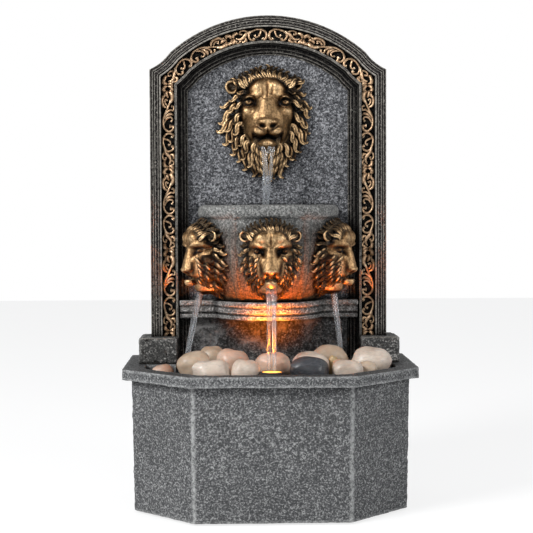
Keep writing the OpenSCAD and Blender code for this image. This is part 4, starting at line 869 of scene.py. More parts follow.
# %% Small face
def small_face(u, v):
    """Heights of a small head's face."""
    a = np.sqrt(u * u + 0.2)
    h = mounds(a, v, 1.3, [
        ((0, 21), 19.5, 26, 19.0, 11, 1.4),                 # the whole face
        ((8.8, 32.6), 10.6, 9.5, 24.2, 7, 1.15, 8),         # forehead
        ((0, 32), 8, 12, 23.4, 6, 1.15),
        ((9.8, 26.0), 9.4, 3.2, 24.2, 5, 1.0, 15),          # brow
        ((14.2, 13.5), 7.0, 8, 19.2, 6, 1.0, -25),          # cheekbone
        ((6.4, 6.5), 7.6, 14, 25.6, 8, 1.2, 8),             # muzzle
        ((4.6, 1.5), 7.6, 8, 26.8, 8, 1.2, 8),
        ((10, -2), 6.0, 8, 16.5, 6, 1.1),                   # jowl
        ((0, -19), 9, 8, 11.0, 7, 1.2)])                    # chin
    h = carve(h, a, v, [(-3.6, dent, (13.0, 21.4), 5.0, 2.8, 12), (-2.4, dent, (7.6, 20.0), 2.0, 3.6, -20)])
    h = mounds(a, v, 0.2, [((13.3, 21.3), 3.0, 2.3, 20.2, 3.2)], h)
    h = carve(h, a, v, [
        (1.5, ring, (13.3, 21.3), 4.5, 3.4, 0.65, 14),      # eyelids and pupil
        (-1.4, ring, (13.3, 21.3), 3.4, 2.5, 0.45, 14),
        (-1.6, dent, (13.0, 21.4), 0.9, 0.9),
        (-0.8, ring, (13.0, 21.4), 1.8, 1.7, 0.35)])
    slope = 22.8 + 0.39 * np.clip(24 - v, -5, 21)
    bridge = slope - 4.0 * (a / (5.0 + 0.13 * np.clip(22 - v, 0, 20))) ** 2.8
    bridge = bridge - 3 * (np.clip(v - 25, 0, 10) / 8) ** 2 - 9 * ease((0.5 - v) / 6)
    h = mounds(a, v, 0.6, [
        ((0, 1.6), 8.0, 3.4, 31.8, 4.5, 1.7),               # nose pad
        ((5.8, -2.2), 6.0, 4.4, 26.2, 7, 1.3)], h, bridge)  # upper lip
    h = carve(h, a, v, [
        (-1.6, dent, (0, 32), 1.1, 7),                      # frown
        (-0.6, dent, (3.0, 25.6), 3.0, 0.7, 25),
        (-0.5, dent, (0, 20.4), 4.4, 0.6),
        (-0.5, dent, (4.8, 30), 0.9, 4.0, -20),
        (0.3 * np.sin(a * 3.3 + v * 1.4), dent, (11, 3), 7, 12),   # furrows of the cheek
        (-2.6, dent, (4.2, -0.4), 1.9, 1.2, 10),            # nostril
        (-1.6, dent, (0, -3.8), 0.7, 2.0),
        (-1.4, dent, (9.0, 0.8), 0.9, 3.6, -25)])
    h = mounds(a, v, 0.7, [((0, -10.5), 5.2, 5.5, 22.0, 6, 1.6)], h)
    h = carve(h, a, v, [(-1.2, dent, (3.6, -5.0), 3.2, 0.8, -20)])
    oval = (a / 20.5) ** 2 + ((v - 12) / 31) ** 2
    return h - 10 * np.clip(oval - 0.9, 0, 3) ** 1.2


def small_crease_shade(a, v):
    """Painted shade in a small face: round the eyes, nostrils and mouth, in the frown, down the cheeks and
    at the face's edge.
    """
    ball = dent(a, v, (13.2, 21.3), 2.8, 2.2, 14)
    edge = (a / 20.5) ** 3 + (np.abs(v - 12) / 31) ** 3
    return shade_and_patina(a, v, [
        (1.2 * (1 - 0.95 * ball), dent, (12.4, 21.4), 5.2, 2.5, 12), (0.95, dent, (13.0, 21.4), 1.0, 1.0),
        (0.95, dent, (7.6, 19.0), 1.9, 3.8, -16), (0.9, dent, (4.4, -0.6), 2.0, 1.2, 10),
        (0.6, dent, (3.6, -5.0), 3.4, 0.8, -20), (0.75, dent, (0, 33), 1.0, 6),
        (0.7, dent, (9.2, 4), 1.5, 8, -8)],
        0.8 * ease((a - 11 - 0.25 * np.clip(v - 2, 0, 30)) / 4) * (v < 17),
        0.75 * ease((edge - 0.95) / 0.2))


print("small nose height:", round(float(small_face(np.array([0.0]), np.array([2.0]))[0]), 1), "mm")

# %% [markdown]
# A grid is lifted by one of these height functions, trimmed to an oval, and its border is pulled
# back to the mask's bed, so no gap shows from the side.

# %% Face from a grid
def relief_sheet(shape, height, half_wide, low, high, grid, keep, floor_at):
    """Adds a lifted grid to a bmesh as (u, -h, v); keep(u, v) says which points stay."""
    crumb = shape.verts.layers.float.get("crumb") or shape.verts.layers.float.new("crumb")
    made = bmesh.ops.create_grid(shape, x_segments=round(2 * half_wide / grid),
                                 y_segments=round((high - low) / grid), size=1)["verts"]
    spot = np.array([vertex.co[:2] for vertex in made])
    u, v = spot[:, 0] * half_wide, (low + high) / 2 + spot[:, 1] * (high - low) / 2
    h = height(u, v)
    stay = keep(u, v)
    low_h, high_h = np.percentile(h, 4), np.percentile(h, 96)
    for vertex, across, up, out in zip(made, u, v, h):
        vertex.co = (across, -out, up)
        vertex[crumb] = min(1.0, max(0.0, (out - low_h) / max(0.01, high_h - low_h)))
    gone = [vertex for vertex, here in zip(made, stay) if not here]
    kept = [vertex for vertex, here in zip(made, stay) if here]
    bmesh.ops.delete(shape, geom=gone, context="VERTS")
    border = list({edge for vertex in kept for edge in vertex.link_edges if edge.is_boundary})
    skirt = bmesh.ops.extrude_edge_only(shape, edges=border)["geom"]
    for vertex in [part for part in skirt if isinstance(part, bmesh.types.BMVert)]:
        vertex.co.y = -floor_at
    bmesh.ops.edgeloop_fill(shape, edges=[part for part in skirt if isinstance(part, bmesh.types.BMEdge)
                                          and part.is_boundary])


print("relief helper ready")

# %% [markdown]
# Rubbing takes the brown wash off what stands out and leaves it in the gaps, and painted shade
# darkens the same gaps further. So the whole carving is seen as a map of its tops, that map is
# blurred, and each point is compared with the blurred level: a point well under it lies in a gap.

# %% How rubbed each point is
def blurred_tops(spot, place, cell, reach):
    """The blurred map of the highest points, read at each point's own place."""
    near = np.round(place).astype(int)
    tops = np.zeros(near.max(axis=0) + 10)
    np.maximum.at(tops, (near[:, 0], near[:, 1]), spot[:, 2])
    for axis in (0, 1, 0, 1):
        tops = np.maximum(tops, np.maximum(np.roll(tops, 1, axis), np.roll(tops, -1, axis)))
    bell = np.exp(-(np.arange(-8, 9) * cell / reach) ** 2)
    bell /= bell.sum()
    for axis in (0, 1):
        tops = np.apply_along_axis(lambda row: np.convolve(row, bell, "same"), axis, tops)
    low = np.floor(place).astype(int)
    part = place - low
    return sum(tops[low[:, 0] + i, low[:, 1] + j] * abs(1 - i - part[:, 0]) * abs(1 - j - part[:, 1])
               for i in (0, 1) for j in (0, 1))


def mark_wear_and_shade(shape, skin, crease_shade, cell=0.8, reach=2.2, span=3.4, least=0.76):
    """Stores how rubbed each vertex is, 0 in gaps and 1 on ridges; the gaps also take painted shade.

    The first `skin` vertices are the face, which is rubbed all over except in its creases, where painted
    shade is marked.
    """
    wear_and_shade = shape.verts.layers.float.new("wear_and_shade")
    spot = np.array([(vertex.co.x, vertex.co.z, -vertex.co.y) for vertex in shape.verts])
    place = (spot[:, :2] - spot[:, :2].min(axis=0)) / cell + 8
    rubbed = np.clip(1 + (spot[:, 2] - blurred_tops(spot, place, cell, reach)) / span, 0, 1)
    rubbed[:skin] = np.maximum(rubbed[:skin], least) * (1 - crease_shade(np.abs(spot[:skin, 0]), spot[:skin, 1]))
    for vertex, value in zip(shape.verts, rubbed):
        vertex[wear_and_shade] = float(value)


print("wear helper ready")

# %% [markdown]
# The mane is made of locks. On the casting each is a wavy S-shaped tuft with ridges and a curled
# tip. Each ridge is one tapered round curve, and a lock is two of them side by side; the curves
# become mesh once they are all laid.

# %% One lock of mane
def strand_mesh(name, lines, sides=3):
    """Tapered round strands as one mesh; a line is a list of (point, radius) in mm."""
    data = bpy.data.curves.new(name, "CURVE")
    data.dimensions = "3D"
    data.bevel_depth = 1.0
    data.bevel_resolution = sides
    data.use_fill_caps = True
    for line in lines:
        spline = data.splines.new("POLY")
        spline.points.add(len(line) - 1)
        for place, (spot, radius) in zip(spline.points, line):
            place.co = (*spot, 1)
            place.radius = radius
    return shown_mesh(name, data)


def lock_lines(root, heading, length, width, low, high, wave, curl, side, lift=1.5, count=13):
    """The two ridges of one lock: it leaves root at heading degrees, waves, and curls at its tip."""
    spot, ridges = Vector(root), {-1: [], 1: []}
    for step in range(count):
        t = step / (count - 1)
        turn = math.radians(heading + side * (wave * math.cos(t * 5.0 + 0.3) - wave * 0.3 + curl * t ** 3))
        ahead = Vector((math.cos(turn), math.sin(turn)))
        across = Vector((-ahead.y, ahead.x))
        full = width * (0.72 + 0.5 * math.sin(t * math.pi * 0.85)) * (1 - 0.68 * t ** 4)
        height = high + (low - high) * t + lift * math.sin(math.pi * t)
        for offset, line in ridges.items():
            place = spot + across * offset * full * 0.42
            line.append(((place.x, -(height - full * 0.1), place.y), full * 0.50))
        spot = spot + ahead * (length / (count - 1))
    return list(ridges.values())


print("ridges of a lock:", len(lock_lines((0, 0), 90, 20, 3, 2, 6, wave=30, curl=80, side=1)))

# %% [markdown]
# Locks grow round the face in rows, like feathers: the outer row is low on the wall and laid first,
# and each inner row stands higher and covers its roots. Side locks droop and flick outwards, and
# those at the chin hang down as a beard.

# %% Mane
def between(face, mane, angle, share):
    """A point from the face's oval (share 0) to the mane's outline (share 1) at an angle.

    Both are (middle across, middle up, half width, half height); the mane has a last number that
    says how far its lower half narrows.
    """
    turn = math.radians(angle)
    inner = (face[0] + face[2] * math.cos(turn), face[1] + face[3] * math.sin(turn))
    chin = 1 - mane[4] * max(0.0, -math.sin(turn)) ** 1.5
    outer = (mane[0] + mane[2] * math.cos(turn) * chin, mane[1] + mane[3] * math.sin(turn))
    return [inner[0] + (outer[0] - inner[0]) * share, inner[1] + (outer[1] - inner[1]) * share]


def mane_lines(rng, face, mane, rows, droop=0.8):
    """Rows of locks; a row is (count, root, tip, root height, tip height, width, first, last)."""
    lines = []
    for count, root_at, tip_at, high, low, width, first, last in rows:
        for number in range(count):
            angle = first + (last - first) * (number + 0.5 + rng.uniform(-0.22, 0.22)) / count
            root = between(face, mane, angle, root_at + rng.uniform(-0.04, 0.04))
            tip = between(face, mane, angle, tip_at + rng.uniform(-0.07, 0.03))
            length = math.dist(root, tip) * rng.uniform(1.12, 1.38)
            out, up = math.cos(math.radians(angle)), math.sin(math.radians(angle))
            way = Vector((out, up - droop * abs(out) * (0.7 if up > 0.3 else 1)))
            rise = rng.uniform(-0.8, 1.1)
            lines += lock_lines(root, math.degrees(math.atan2(way.y, way.x)), length,
                                width * rng.uniform(0.8, 1.2), low + rise, high + rise,
                                rng.uniform(34, 56), rng.uniform(60, 130), 1 if out > 0 else -1)
    return lines


def across_row(count, gap):
    """Even places across a row, from left to right."""
    return [(number - (count - 1) / 2) * gap for number in range(count)]


def mane_bed(u, v, at, wide, tall, full, fade_from, fade, furrow, furrows):
    """The bed behind the locks: high by the face, low outside, with furrows that run outwards."""
    far = np.sqrt(((u - at[0]) / wide) ** 2 + ((v - at[1]) / tall) ** 2)
    way = np.arctan2(v - at[1], u - at[0])
    return 0.6 + full * (1 - ease((far - fade_from) / fade)) + furrow * np.sin(way * furrows + far * 9)


print("mane helpers ready")

# %% [markdown]
# An ear is a sphere, squashed and hollowed in front, which is quicker than modelling a cup and just
# as round. The lip of a spout is a ring, so a small circle is spun round its axis.

# %% Ears and spout lips
def ear_cup(shape, at, radius, lean, out):
    """A rounded ear, hollow in front, tipped outwards by lean degrees."""
    made = bmesh.ops.create_uvsphere(shape, u_segments=20, v_segments=14, radius=radius)["verts"]
    for vertex in made:
        x, y, z = vertex.co / radius
        bowl = 0.95 * math.exp(-((x / 0.62) ** 2 + ((z - 0.05) / 0.70) ** 2) ** 2) if y < 0 else 0
        vertex.co = (x * radius, (y * 0.55 + bowl) * radius, z * radius * (1.15 if z > 0 else 1))
    bmesh.ops.rotate(shape, verts=made, cent=(0, 0, 0), matrix=Matrix.Rotation(math.radians(lean), 3, "Y"))
    bmesh.ops.translate(shape, verts=made, vec=(at[0], -out, at[1]))


def lip_ring(shape, at, out, round_mm, thick, tip_down):
    """The cast lip round a spout: a small profile spun into a ring that faces forwards and down."""
    made = bmesh.ops.create_circle(shape, cap_ends=False, segments=10, radius=thick)["verts"]
    bmesh.ops.rotate(shape, verts=made, cent=(0, 0, 0), matrix=Matrix.Rotation(math.pi / 2, 3, "X"))
    bmesh.ops.translate(shape, verts=made, vec=(round_mm, 0, 0))
    edges = list({edge for vertex in made for edge in vertex.link_edges})
    before = set(shape.verts)
    bmesh.ops.spin(shape, geom=list(made) + edges, cent=(0, 0, 0), axis=(0, 0, 1), steps=28,
                   angle=math.tau, use_merge=True)
    spun = [vertex for vertex in shape.verts if vertex not in before or vertex in made]
    bmesh.ops.scale(shape, vec=(1, 1, 2.2), verts=spun)
    bmesh.ops.rotate(shape, verts=spun, cent=(0, 0, 0),
                     matrix=Matrix.Rotation(math.radians(90 - tip_down), 3, "X"))
    bmesh.ops.translate(shape, verts=spun, vec=(at[0], -out, at[1]))


print("ear and lip helpers ready")

# %% [markdown]
# The large mask: face, two ears, the bed behind the mane, three rows of locks, the tufts over the
# forehead and the beard, all in one casting. It hangs on the panel with its nose 36 mm out.

# %% Large mask on the panel
FRONT = 41.0       # front of the recessed panel, in mm behind the middle
MASK_NOSE = 372.0  # height of the mask's nose, in mm
LARGE_FACE = (0, 9, 23.5, 36)
LARGE_MANE = (-1, 1.5, 52, 57.5, 0.60)


def large_mane(rng):
    """Three rows of locks round the face, then the tufts over the forehead and the beard."""
    lines = mane_lines(rng, LARGE_FACE, LARGE_MANE, [
        (25, 0.34, 0.98, 5.0, 2.2, 2.5, -70, 250),
        (21, 0.16, 0.76, 9.5, 5.5, 2.5, -62, 242),
        (17, 0.02, 0.50, 13.5, 9.5, 2.3, -52, 232)])
    for count, gap, foot, reach, high, low in ((15, 4.2, 46, 17.5, 12, 6), (12, 4.5, 43.5, 15, 17, 12)):
        for even in across_row(count, gap):
            across = even + rng.uniform(-0.6, 0.6)
            lines += lock_lines((across * 0.86, foot - abs(across) * 0.22), 90 - across * 2.0,
                                reach - abs(across) * 0.08, 2.2, low, high, wave=34, curl=105,
                                side=rng.choice((1, -1)), lift=3)
    for count, gap, top, length, high, low in ((8, 4.4, -37, 22, 9, 3), (6, 5.0, -30, 23, 13, 6),
                                               (6, 5.2, -23.5, 19, 16, 10)):
        for even in across_row(count, gap):
            side = 1 if even > 0 else -1
            across = even + (side * 1.8 + rng.uniform(-0.7, 0.7))
            lines += lock_lines((across * 0.8, top + abs(across) * 0.40), -90 + across,
                                length - abs(across) * 0.42 + rng.uniform(-1.5, 1.5), 2.7, low, high,
                                wave=40, curl=rng.uniform(70, 120), side=side)
    return lines


def large_bed(u, v):
    return mane_bed(u, v, (-1, 1.5), wide=45, tall=54, full=7.0, fade_from=0.33, fade=0.45,
                    furrow=0.7, furrows=46)


def in_large_bed(u, v):
    """Which places lie in the bed's oval, which narrows towards the chin."""
    return ((u + 1) / (38 + 0.28 * np.minimum(v, 0))) ** 2 + ((v - 3.5) / 46) ** 2 < 1


def large_mask():
    """The whole mask, with its nose at the height of MASK_NOSE on the panel."""
    shape = bmesh.new()
    relief_sheet(shape, large_face, half_wide=30, low=-36, high=50, grid=0.6, floor_at=2,
                 keep=lambda u, v: (u / 25.5) ** 2 + ((v - 9) / 37) ** 2 < 1.32)
    skin = len(shape.verts)
    relief_sheet(shape, large_bed, half_wide=46, low=-54, high=57, grid=1.4, floor_at=0.3,
                 keep=in_large_bed)
    lines = large_mane(random.Random(11))
    ear_cup(shape, (-35, 38.5), radius=6.3, lean=-34, out=9.5)
    ear_cup(shape, (29, 42), radius=6.2, lean=24, out=9.5)
    shape.from_mesh(strand_mesh("mane", lines))
    # The stored wear also holds painted shade in the face's creases and between the locks.
    mark_wear_and_shade(shape, skin, large_crease_shade)
    bmesh.ops.transform(shape, matrix=Matrix.Translation((-1, FRONT, MASK_NOSE)), verts=shape.verts)
    return piece_from("lion_mask_large", shape, gilt_lion, ["lion_top"])


mask = large_mask()
print("large mask:", len(mask.data.polygons), "faces")

# %% [markdown]
# The bowl's heads are one head made three times, each with locks of its own. Its flat relief is
# wrapped round the bowl: a point's depth is measured from the bowl's skin at its own height, and
# the head is then turned to the front or 66 degrees to a side.

# %% Manes of the bowl's heads
HEAD_NOSE = 229.0  # height of the heads' noses, in mm
SMALL_FACE = (0, 11.5, 20, 28.5)
SMALL_MANE = (0, 11, 31.5, 38.5, 0.25)


def small_mane(rng):
    """Two rows of locks round the face, curls on both cheeks, forelocks and a short beard."""
    lines = mane_lines(rng, SMALL_FACE, SMALL_MANE, [
        (27, 0.25, 0.98, 4.2, 1.9, 2.0, -80, 260),
        (23, 0.0, 0.66, 8.0, 4.6, 2.0, -68, 248)], 0.45)
    for cheek in ((-72, 12), (168, 252)):
        lines += mane_lines(rng, SMALL_FACE, SMALL_MANE, [
            (8, -0.42, 0.26, 15.5, 10.5, 1.9, *cheek),
            (6, -0.86, -0.14, 20.5, 15.5, 1.8, *cheek)], 0.6)
    for count, gap, foot, reach, high, low in ((15, 2.9, 40.5, 13.0, 11.5, 5),
                                               (12, 3.1, 37.1, 11.5, 19.5, 12)):
        for even in across_row(count, gap):
            across = even + rng.uniform(-0.4, 0.4)
            lines += lock_lines((across, foot - (across / 20) ** 2 * 8), 90 - across * 3.0, reach, 1.75,
                                low, high, wave=30, curl=90, side=rng.choice((1, -1)), lift=2.5)
    for across in across_row(8, 3.2):
        lines += lock_lines((across * 1.15, -15.5 + abs(across) * 0.45), -90 + across * 3.0,
                            12.5 - abs(across) * 0.3, 1.9, 3, 10.0, wave=34, curl=100,
                            side=rng.choice((1, -1)))
    return lines


print("strands in a small mane:", len(small_mane(random.Random(3))))

# %% [markdown]
# The bowl's side is a quarter of an oval, so its radius at any height is one line of arithmetic. A
# head at the side is cut off where it would run into the wall.

# %% Heads round the bowl
BOWL_FOOT_R, BOWL_BULGE = 46, 20
BOWL_TOP, BOWL_TALL = 280.5, 81.5


def bowl_line(z):
    """The bowl's radius at a height, in mm: its side is a quarter of an oval."""
    return BOWL_FOOT_R + BOWL_BULGE * math.sqrt(max(0.0, 1 - ((BOWL_TOP - z) / BOWL_TALL) ** 2))


def wrap_round_bowl(shape, turn, least=0.45):
    """Wraps a flat head round the bowl, turns it to its side and trims what is in the wall."""
    for vertex in shape.verts:
        across, out, height = vertex.co.x, -vertex.co.y, vertex.co.z + HEAD_NOSE
        back = math.sqrt(max(0.0, bowl_line(height) ** 2 - across ** 2))
        vertex.co = (across, -(back + max(out, least)), height)
    bmesh.ops.rotate(shape, verts=shape.verts, cent=(0, 0, 0),
                     matrix=Matrix.Rotation(math.radians(turn), 3, "Z"))
    bmesh.ops.translate(shape, verts=shape.verts, vec=(0, FRONT, 0))
    if turn:
        bmesh.ops.bisect_plane(shape, geom=list(shape.verts) + list(shape.edges) + list(shape.faces),
                               plane_co=(0, FRONT - 0.4, 0), plane_no=(0, 1, 0), clear_outer=True)


def small_bed(u, v):
    return mane_bed(u, v, (0, 11), wide=29, tall=37, full=6.5, fade_from=0.34, fade=0.48,
                    furrow=0.5, furrows=40)


def bowl_head(name, turn, node, seed):
    """One head, turned round the bowl by some degrees; seed makes its locks its own."""
    shape = bmesh.new()
    relief_sheet(shape, small_face, half_wide=23, low=-25, high=43, grid=0.6, floor_at=1,
                 keep=lambda u, v: (u / 20.5) ** 2 + ((v - 12) / 31) ** 2 < 1.28)
    skin = len(shape.verts)
    relief_sheet(shape, small_bed, half_wide=30, low=-28, high=50, grid=1.3, floor_at=0.2,
                 keep=lambda u, v: (u * (1 + 0.010 * (11 - v)) / 25) ** 2 + ((v - 11) / 33) ** 2 < 1)
    lines = small_mane(random.Random(seed))
    for side in (-1, 1):
        ear_cup(shape, (side * 24.4, 34.5), radius=5.0, lean=side * 35, out=11.5)
    lip_ring(shape, (0, -10.4), out=25.6, round_mm=4.6, thick=1.3, tip_down=84)
    shape.from_mesh(strand_mesh("mane", lines))
    # The stored wear also holds painted shade in the face's creases and between the locks.
    mark_wear_and_shade(shape, skin, small_crease_shade, cell=0.7, reach=1.8, span=2.7)
    wrap_round_bowl(shape, turn)
    return piece_from(name, shape, gilt_lion, [node])


heads = [bowl_head("lion_head_centre", 0, "lion_centre", seed=3),
         bowl_head("lion_head_left", -66, "lion_left", seed=5),
         bowl_head("lion_head_right", 66, "lion_right", seed=8)]
print("heads:", [len(head.data.polygons) for head in heads])

# %% [markdown]
# ## Gilt scrollwork
# The frame's channel holds a running ornament of C-scrolls, S-stems and three-petalled flowers.
# Each line of it is a round strand that swells and ends in a ball or a leaf's point. It is drawn
# once on a flat strip, w across and s along, and laid along the channel: up a side, round the
# shoulder and over the arch.

# %% Channel line
CHANNEL_BACK = 33.0
SIDE_X, SIDE_LOW, SIDE_HIGH = 99.2, 203.5, 417.4
SHOULDER_X, SHOULDER_Z, SHOULDER_R, SHOULDER_LONG = 137.3, 473.5, 67.8, 12.3
ARCH_R, ARCH_Z, ARCH_FROM = 128.7, 334.3, math.radians(45.4)


def on_circle(x, z, radius, turn, out):
    """A place on a circle in the channel, brought forwards by out."""
    return Vector((x + radius * math.cos(turn), CHANNEL_BACK - out, z + radius * math.sin(turn)))


def channel_spot(w, s, out):
    """The place of a strip point: s from the foot of the right side, w inwards, out forwards."""
    if s < SIDE_HIGH - SIDE_LOW:
        return Vector((SIDE_X - w, CHANNEL_BACK - out, SIDE_LOW + s))
    over = s - (SIDE_HIGH - SIDE_LOW)
    if over < SHOULDER_LONG:
        start = math.atan2(SIDE_HIGH - SHOULDER_Z, SIDE_X - SHOULDER_X)
        return on_circle(SHOULDER_X, SHOULDER_Z, SHOULDER_R + w, start - over / SHOULDER_R, out)
    return on_circle(0, ARCH_Z, ARCH_R - w, ARCH_FROM + (over - SHOULDER_LONG) / ARCH_R, out)


for test in (0, 213.8, 214, 226.1, 226.3, 326.4):
    print(test, [round(c, 1) for c in channel_spot(0, test, 0)])

# %% [markdown]
# The strands are smooth lines through a few points each. The number after a strand's points is its
# thickness, and leaves are thicker strands that taper to both ends.

# %% Strip ornament
PAIR = 81.6
UPPER_HALF = [
    ([(1.6, 5.8), (5.6, 5.3), (4.2, 1.8), (-0.2, 0.7), (-4.2, 4.4), (-5.2, 10.6), (-3.7, 16.8),
      (-0.6, 23), (2, 28.8), (4.2, 33)], 1.05, "ball"),
    ([(2.6, 29), (4.9, 33.6), (3.8, 38), (1.0, 39.6)], 1.5, "leaf"),
    ([(-3.7, 15.5), (-1, 19.4), (2.4, 21.7), (5.4, 21.4), (5.9, 24.6), (3.6, 25.6)], 0.85, "ball"),
    ([(-4.4, 9), (-1.2, 13.4), (2.6, 14.6), (4.6, 12.6), (3.2, 10.4)], 0.85, "ball"),
    ([(-3.6, 13), (-0.4, 16.6), (3.4, 17.8), (5.6, 16.4)], 0.8, "leaf"),
    ([(-0.8, 24), (-4.2, 25.4), (-6.0, 29), (-5.8, 33.4), (-3.4, 36.3), (-4.0, 39)], 1.0, "leaf"),
    ([(-1.2, 26.5), (-3.2, 29.4), (-2.6, 32.2), (-0.8, 31.2)], 0.75, "ball"),
    ([(0.4, 34), (-1.4, 37.2), (-0.6, 40.4)], 0.9, "leaf")]
LOWER_HALF = [
    ([(4.2, -5.3), (5.6, -3.5), (2, -1.3), (-2.8, -2.7), (-5.5, -8), (-3.7, -16), (-0.2, -19), (4.0, -18),
      (5.6, -15), (3.6, -13.8)], 1.05, "ball"),
    ([(-5.2, -6.5), (-1.4, -7.4), (2.0, -9.4), (2.4, -12), (0.4, -12.8)], 0.85, "ball"),
    ([(-4.6, -13.3), (-3.6, -18), (-2, -21.2), (1.4, -24.6), (2.4, -28.2), (0.6, -32)], 1.0, "leaf"),
    ([(0.6, -23.2), (4.4, -22.4), (6.0, -24.6), (4.6, -26.8)], 0.95, "leaf"),
    ([(-3.0, -19.6), (-5.8, -22.4), (-5.6, -26.4), (-3.2, -27.6), (-2.6, -25.4)], 0.85, "ball"),
    ([(2.2, -27.4), (5.2, -29.2), (5.4, -32.2), (3.4, -32.4)], 0.85, "ball"),
    ([(-0.6, -34.2), (-3.4, -33.6), (-4.6, -30.8), (-3.4, -29.2)], 1.1, "leaf"),
    ([(-0.8, -36.4), (-3.4, -37.2), (-4.8, -40.2), (-2.2, -41)], 1.1, "leaf"),
    ([(0.4, -36.4), (3.0, -37.2), (4.6, -40.0), (2.0, -40.9)], 1.1, "leaf"),
    ([(0.4, -34.6), (2.6, -33.8), (4.6, -35.2), (5.0, -37.6)], 1.0, "leaf")]


def smooth_points(points, each=5):
    """A smooth line through the points, with each spans between neighbours."""
    ends = [points[0], *points, points[-1]]
    line = []
    for k in range(1, len(ends) - 2):
        a, b, c, d = (Vector(p) for p in ends[k - 1:k + 3])
        for part in range(each):
            t = part / each
            line.append(0.5 * ((2 * b) + (c - a) * t + (2 * a - 5 * b + 4 * c - d) * t * t
                               + (3 * b - a - 3 * c + d) * t ** 3))
    return line + [Vector(points[-1])]


def swelling(t, number, points, ending):
    """How thick a strand is at t along it, against its plain thickness."""
    if ending == "leaf":
        return 0.35 + 1.1 * math.sin(math.pi * min(1, t * 0.92 + 0.04))
    root = 1.55 if number < 2 and len(points) > 7 else 1.0
    return root * (1.0 - 0.25 * t) * (1 + 0.75 * max(0, t - 0.86) / 0.14)


print("strands in one pair of scrolls:", len(UPPER_HALF) + len(LOWER_HALF))

# %% [markdown]
# The pair of scrolls repeats every 81.6 mm from the foot of each side up to the top of the arch.
# Where a strand starts decides which piece it belongs to, so no strand is cut in two.

# %% Scrolls in the channel
def ornament_lines(side, start, halves, low, high):
    """Strands of one pair of scrolls laid on the channel between low and high; side -1 is the left."""
    lines = []
    for points, thick, ending in (strand for half in halves for strand in half):
        line = smooth_points(points)
        placed = []
        for number, spot in enumerate(line):
            t = number / (len(line) - 1)
            place = channel_spot(spot.x * 0.98, start + spot.y, 0.9 + 0.9 * math.sin(t * 3) + thick * 0.5)
            placed.append(((place.x * side, place.y, place.z),
                           1.22 * thick * swelling(t, number, points, ending)))
        if low <= start + line[0].y <= high:
            lines.append(placed)
    return lines


def scroll_piece(name, node, lines):
    """All the strands of one run of scrollwork as one piece."""
    shape = bmesh.new()
    shape.from_mesh(strand_mesh(name, lines, 2))
    return piece_from(name, shape, gilt_scroll, [node])


SIDE_TOP = 213
for side, name, node in ((-1, "scrollwork_left", "scroll_left"), (1, "scrollwork_right", "scroll_right")):
    lines = []
    for number in range(-1, 4):
        lines += ornament_lines(side, number * PAIR, [UPPER_HALF, LOWER_HALF], -39, SIDE_TOP)
    piece = scroll_piece(name, node, lines)
    print(name, len(piece.data.polygons), "faces")
lines = []
for side in (-1, 1):
    for number in range(2, 4):
        lines += ornament_lines(side, number * PAIR, [UPPER_HALF, LOWER_HALF], SIDE_TOP, 322)
    lines += ornament_lines(side, 4 * PAIR, [LOWER_HALF], SIDE_TOP, 330)
arch_scroll = scroll_piece("scrollwork_arch", "scroll_arch", lines)
print("arch scrollwork:", len(arch_scroll.data.polygons), "faces")

# %% [markdown]
# ## Stone pieces
# Basin, bowl and ledge are rough castings, so each gets its remeshed and worn skin. The tall wall
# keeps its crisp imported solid, and only its rough places get skins of their own: the stippled
# panel, the rock face under the ledge, and the two plinth blocks.

# %% Basin, bowl and ledge
BASIN_LIP, BASIN_FOOT = 137.2, 3
SHARP = {"mode": "SHARP", "octree_depth": 7, "scale": 0.95, "sharpness": 1.0,
         "use_remove_disconnected": False}


def voxels(size_mm):
    """Settings of a remesh whose faces are of one size."""
    return {"mode": "VOXEL", "voxel_size": size_mm * MM}


def stone_piece(name, node, skin, remesh, rough, chip, calm=None):
    """A roughened copy of a solid that stands for it, with its sharp edges kept."""
    piece = finish_piece(name, stone_copy(node, remesh, rough, chip, calm), skin, [node])
    piece.data.set_sharp_from_angle(angle=math.radians(42))
    return piece


basin_stone = stone_piece("basin_stone", "basin", stone_basin, SHARP, rough=0.65, chip=1.0,
                          calm=lambda p: 0.4 if p.z > BASIN_LIP or p.z < BASIN_FOOT else 1.0)
bowl_stone = stone_piece("bowl_stone", "bowl", stone_bowl, voxels(1.2), rough=0.28, chip=0.2)
ledge_stone = stone_piece("ledge_stone", "shelf_moulding", stone_rim, voxels(0.62), rough=0.24, chip=0.3)
for piece in (basin_stone, bowl_stone, ledge_stone):
    print(piece.name, len(piece.data.polygons), "faces")

# %% [markdown]
# The panel behind the mask is stippled: thousands of small hard crumbs. A grid of 0.85 mm squares,
# cut to the arch and pushed forward by noise, gives real crumbs that catch the side light.

# %% Stippled panel
PANEL_HALF, PANEL_LOW, PANEL_SIDE_TOP, PANEL_ARCH_R = 80.4, 199.6, 400, 110.0


def panel_crumbs(u, v):
    """Crumbly heights in mm for arrays of places."""
    return np.array([0.25 + 1.25 * (0.5 + 0.5 * hills((a, 0, b), 1.5, 3)) for a, b in zip(u, v)])


def in_panel(u, v):
    """Which places lie on the panel: between its sides, and under its arch."""
    arch = u ** 2 + (v - ARCH_Z) ** 2 < PANEL_ARCH_R ** 2
    return (np.abs(u) < PANEL_HALF) & (v > PANEL_LOW) & ((v < PANEL_SIDE_TOP) | arch)


def wall_skin(name, skin, height, **where):
    """A lifted grid that lies on the wall's front; where says how far it goes."""
    shape = bmesh.new()
    relief_sheet(shape, height, floor_at=0.0, **where)
    bmesh.ops.translate(shape, verts=shape.verts, vec=(0, FRONT, 0))
    return piece_from(name, shape, skin)


panel = wall_skin("stippled_panel", stone_panel, panel_crumbs, half_wide=82, low=199, high=446,
                  grid=0.85, keep=in_panel)
print("panel:", len(panel.data.polygons), "faces")

